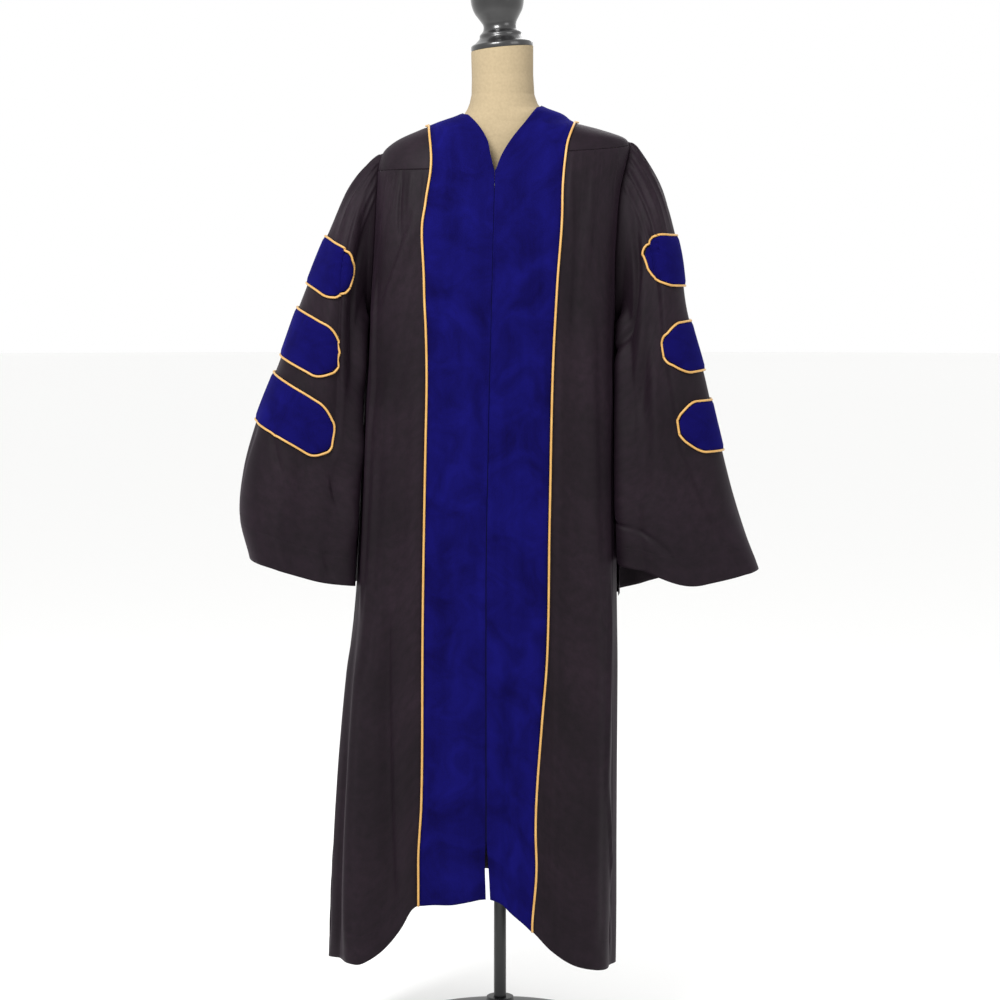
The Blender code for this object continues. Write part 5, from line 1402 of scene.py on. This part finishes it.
behind_turn = np.linspace(3, 1, 141)
behind = np.stack([behind_turn, band_edge(behind_turn, False)], axis=-1)
run = np.concatenate([seam_up(LEFT), behind, seam_up(RIGHT)[::-1]])
lift = VELVET_WALL / 2 + CORD_RADIUS - 0.0004
path = body(run[:, 0], run[:, 1], lift)
outside = body(run[:, 0], run[:, 1], lift + OUTWARD)
cord = cord_piece("front_piping_cord", path, outside, piping, closed=False)
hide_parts("front_piping")

# %% [markdown]
# ## The zip
# A zip on its tape holds the fronts together from the chest to a little above the hem. The
# velvet edges nearly meet over it, so it shows as a dark line. Moulded teeth stand on the
# two edges of the tape and lock one between the next. The slider sits at the top, under the
# velvet edges, with only its lug between them.
# %% Make the tape, the teeth and the slider
ZIP_LOW = 0.366
ZIP_HIGH = 1.405
TAPE_LENGTH = 1.04
TAPE_OUT = -(0.0012 + 0.0014 + 0.0005)  # half the velvet, room for the teeth, half the tape
TAPE_CLOTH = Cloth(tape_weave, 0.0008, "zip_tape")
tape_rows = np.linspace(0, 1, 261)
tape_across = np.array([-12, -9, -6, -3, -1.2, -0.5, 0.5, 1.2, 3, 6, 9, 12]) / 1000
z = ZIP_LOW + (ZIP_HIGH - ZIP_LOW) * tape_rows[:, None]
turn = turn_of(read(CENTRE_FRONT, "x", z) + tape_across[None], z)
tape = cloth_piece(
    "zip_tape", body(turn, z, TAPE_OUT), tape_across[None] + 0.02,
    tape_rows[:, None] * TAPE_LENGTH, TAPE_CLOTH,
)

# %% Lock the teeth together
TOOTH_SIZE = (0.0030, 0.0012, 0.0017)
TOOTH_BEVEL = 0.00025
TOOTH_PITCH = 0.0032
TOOTH_OUT = -0.0020
TOOTH_ASIDE = 0.0008
FIRST_TOOTH = 0.004


def stood(place, up, front, aside=0.0):
    """The matrix that stands a small part at a place, upright along the zip, facing out."""
    up, front = Vector(up).normalized(), Vector(front).normalized()
    beside = up.cross(front).normalized()
    turned = Matrix((beside, -front, up)).transposed().to_4x4()
    return Matrix.Translation(Vector(place) + beside * aside) @ turned


def on_the_zip(heights, out):
    """Places along the zip at these heights, and the way out from each of them."""
    turn = turn_of(read(CENTRE_FRONT, "x", heights), heights)
    places = body(turn, heights, out)
    return places, body(turn, heights, OUTWARD) - places


tooth = bmesh.new()
bmesh.ops.create_cube(tooth, size=1, matrix=Matrix.Diagonal((*TOOTH_SIZE, 1)))
bmesh.ops.bevel(
    tooth, geom=tooth.edges[:], offset=TOOTH_BEVEL, affect="EDGES", segments=1, profile=0.5,
    material=-1,
)
tooth_mesh = bpy.data.meshes.new("one_tooth")
tooth.to_mesh(tooth_mesh)
tooth.free()
count = int((ZIP_HIGH - ZIP_LOW - 2 * FIRST_TOOTH) / TOOTH_PITCH * 2)
heights = ZIP_LOW + FIRST_TOOTH + TOOTH_PITCH / 2 * np.arange(count)
places, fronts = on_the_zip(heights, TOOTH_OUT)
uppers = np.gradient(places, axis=0)
teeth = bmesh.new()
for k in range(count):
    teeth.from_mesh(tooth_mesh)
    fresh = teeth.verts[-len(tooth_mesh.vertices) :]
    aside = TOOTH_ASIDE if k % 2 else -TOOTH_ASIDE
    bmesh.ops.transform(teeth, matrix=stood(places[k], uppers[k], fronts[k], aside), verts=fresh)
teeth_piece = object_of(teeth, "zip_teeth", acetal)
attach(teeth_piece, "root")
print("zip teeth:", count)

# %% Put the slider at the top
Block = namedtuple("Block", "size out")
SLIDER = (
    Block((0.0054, 0.0026, 0.0090), -0.0024),  # its body, behind the velvet edges
    Block((0.0010, 0.0018, 0.0040), -0.0003),  # its lug, between them
)
SLIDER_BELOW_TOP = 0.006
slider = bmesh.new()
for size, out in SLIDER:
    block = bmesh.ops.create_cube(
        slider, size=1, matrix=Matrix.Translation((0, -out, 0)) @ Matrix.Diagonal((*size, 1)),
    )["verts"]
    edges = {edge for vertex in block for edge in vertex.link_edges}
    bmesh.ops.bevel(
        slider, geom=list(edges), offset=min(size) * 0.25, affect="EDGES", segments=2,
        profile=0.5, material=-1,
    )
heights = ZIP_HIGH - SLIDER_BELOW_TOP + np.array([-0.001, 0.0, 0.001])
places, fronts = on_the_zip(heights, 0.0)
slider_to = stood(places[1], places[2] - places[0], fronts[1])
bmesh.ops.transform(slider, matrix=slider_to, verts=slider.verts[:])
slider_piece = object_of(slider, "zip_slider", zinc)
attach(slider_piece, "root")
print("slider, m up:", round(float(heights[1]), 3))

# %% [markdown]
# ## The dress form
# The form is a padded torso without limbs, covered in jersey. Only its neck shows, but
# the gown's shoulders rest on it, so its rings follow the gown's just below. Two seams run up
# the sides of the neck. Rings joined by straight runs between them give the whole shape.
# %% Build the form
FORM_BODY = (
    Ring(0.800, 0.128, 0.128, 0.088, 0.092, 2.3),
    Ring(0.840, 0.156, 0.154, 0.104, 0.112, 2.3),
    Ring(0.900, 0.163, 0.160, 0.108, 0.114, 2.3),
    Ring(0.980, 0.152, 0.148, 0.098, 0.102, 2.3),
    Ring(1.080, 0.126, 0.120, 0.088, 0.084, 2.2),
    Ring(1.180, 0.136, 0.130, 0.100, 0.088, 2.2),
    Ring(1.260, 0.148, 0.146, 0.108, 0.094, 2.2),
    Ring(1.350, 0.156, 0.160, 0.098, 0.094, 2.2),
    Ring(1.415, 0.160, 0.172, 0.084, 0.086, 2.2),
)
FORM_SHOULDERS = (1.440, 1.455, 1.466, 1.475, 1.483, 1.490, 1.496, 1.502, 1.508, 1.515)
FORM_WIDEST = (0.164, 0.186)
FORM_DROP = 0.0019
FORM_DEPTH = 0.76
FORM_NECK_CLEAR = 0.0029
FORM_NECK = (
    Ring(1.5235, 0.0520, 0.0660, 0.0570, 0.0600, 2.0),
    Ring(1.532, 0.0485, 0.0600, 0.0550, 0.0570, 2.0),
    Ring(1.546, 0.0455, 0.0550, 0.0520, 0.0540, 2.0),
    Ring(1.575, 0.045, 0.053, 0.049, 0.051, 2.0),
    Ring(1.618, 0.046, 0.053, 0.049, 0.049, 2.0),
)
NECK_X = 0.0035
NECK_LEAN = 0.10
NECK_LEAN_FROM = 1.54
SHOULDERS_FROM = 1.43
NECK_SEAMS = (0.93, 3.07)
NECK_SEAM_WIDTH = 0.035
NECK_SEAM_DEPTH = 0.012
shoulders = []
for z in FORM_SHOULDERS:
    left, right, front, back = (
        float(read(BODY_RINGS, name, z + FORM_DROP)) for name in ("left", "right", "front", "back")
    )
    clear = FORM_NECK_CLEAR * float(ease((z - 1.498) / 0.014))
    left, right = min(left, FORM_WIDEST[0]) - clear, min(right, FORM_WIDEST[1]) - clear
    shoulders.append(Ring(z, left, right, front * FORM_DEPTH, back * FORM_DEPTH, 2.1))
form_rings = FORM_BODY + tuple(shoulders) + FORM_NECK
keys = np.array([row.z for row in form_rings])
broad_rows = np.arange(keys[0], SHOULDERS_FROM, 0.012)
form_z = np.unique(np.concatenate([keys, broad_rows, np.arange(SHOULDERS_FROM, keys[-1], 0.003)]))
turn = np.linspace(0, 4, 129)
z = form_z[:, None]
across, toward = oval(turn[None], np.interp(z, keys, [row.square for row in form_rings]))
width = {
    name: np.interp(z, keys, [getattr(row, name) for row in form_rings])
    for name in Ring._fields[1:5]
}
seam_off = np.minimum(abs(turn - NECK_SEAMS[0]), abs(turn - NECK_SEAMS[1]))[None]
near_seam = 1 - ease(seam_off / NECK_SEAM_WIDTH)
groove = 1 - NECK_SEAM_DEPTH * near_seam * ease((z - 1.50) / 0.03)
x = np.where(across < 0, width["left"], width["right"]) * across * groove
y = -np.where(toward > 0, width["front"], width["back"]) * toward * groove
lean = NECK_LEAN * ease((z - NECK_LEAN_FROM) / 0.07)
points = np.stack([x, y, z + lean * (x - NECK_X)], axis=-1)
points[:, -1] = points[:, 0]
form = grid_piece(
    "form_torso_cover", points, turn[None] * 0.1, form_z[:, None], form_cloth, tube=True, fill=True,
)
form.data.set_sharp_from_angle(angle=math.radians(50))
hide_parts("form_torso")

# %% [markdown]
# ## Turned cap, pole and base
# A turner shapes the cap on a lathe, so spinning its profile is the natural way to model
# it. The pole and base are turned too. A bevel given in the profile keeps each arris
# slightly soft, as the lacquer leaves it.
# %% Spin the turned pieces
Turned = namedtuple("Turned", "radius z")
NECK_CAP = (
    Turned(0.0000, 0.000), Turned(0.0480, 0.000), Turned(0.0495, 0.003), Turned(0.0485, 0.008),
    Turned(0.0420, 0.012), Turned(0.0345, 0.019), Turned(0.0335, 0.024), Turned(0.0280, 0.030),
    Turned(0.0262, 0.038), Turned(0.0325, 0.050), Turned(0.0385, 0.060), Turned(0.0420, 0.073),
    Turned(0.0425, 0.084), Turned(0.0390, 0.097), Turned(0.0290, 0.109), Turned(0.0140, 0.116),
    Turned(0.0000, 0.118),
)
STAND_BASE = (
    Turned(0.0000, 0.000), Turned(0.1900, 0.000), Turned(0.1930, 0.004), Turned(0.1930, 0.014),
    Turned(0.1860, 0.021), Turned(0.1100, 0.027), Turned(0.0420, 0.034), Turned(0.0260, 0.046),
    Turned(0.0230, 0.072), Turned(0.0190, 0.076), Turned(0.0000, 0.076),
)
POLE_RADIUS = 0.010
STAND_GAP = 0.0003
SHARP_ARRIS = 35
POLE = (
    Turned(0.0, 0.076 + STAND_GAP), Turned(POLE_RADIUS, 0.076 + STAND_GAP),
    Turned(POLE_RADIUS, 0.800 - STAND_GAP), Turned(0.0, 0.800 - STAND_GAP),
)


def spun_piece(node, profile, finish, place=(0, 0, 0), tilt=0.0, finer=4):
    """A turned piece: its profile, read finely, spun about its own axis and stood at a place."""
    run = np.arange(len(profile))
    fine = np.unique(np.concatenate([run, np.linspace(0, run[-1], run[-1] * finer + 1)]))
    radius = smooth(fine, run, [row.radius for row in profile])
    height = smooth(fine, run, [row.z for row in profile])
    shape = bmesh.new()
    ring = [shape.verts.new((r, 0, h)) for r, h in zip(radius, height)]
    for low, high in zip(ring, ring[1:]):
        shape.edges.new((low, high))
    bmesh.ops.spin(
        shape, geom=shape.verts[:] + shape.edges[:], cent=(0, 0, 0), axis=(0, 0, 1),
        angle=2 * math.pi, steps=72, use_merge=True,
    )
    bmesh.ops.remove_doubles(shape, verts=shape.verts, dist=0.00002)
    bmesh.ops.recalc_face_normals(shape, faces=shape.faces)
    bmesh.ops.transform(
        shape, matrix=Matrix.Translation(place) @ Matrix.Rotation(tilt, 4, "Y"), verts=shape.verts,
    )
    piece = object_of(shape, f"{node}_turned", finish)
    piece.data.shade_smooth()
    piece.data.set_sharp_from_angle(angle=math.radians(SHARP_ARRIS))
    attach(piece, "root")
    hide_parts(node)
    print(piece.name, "faces", len(piece.data.polygons))


cap_place = (NECK_X, 0, FORM_NECK[-1].z + STAND_GAP)
spun_piece("form_neck_cap", NECK_CAP, cap_wood, cap_place, -math.atan(NECK_LEAN))
spun_piece("stand_base", STAND_BASE, stand_metal)
spun_piece("stand_pole", POLE, stand_metal, finer=1)
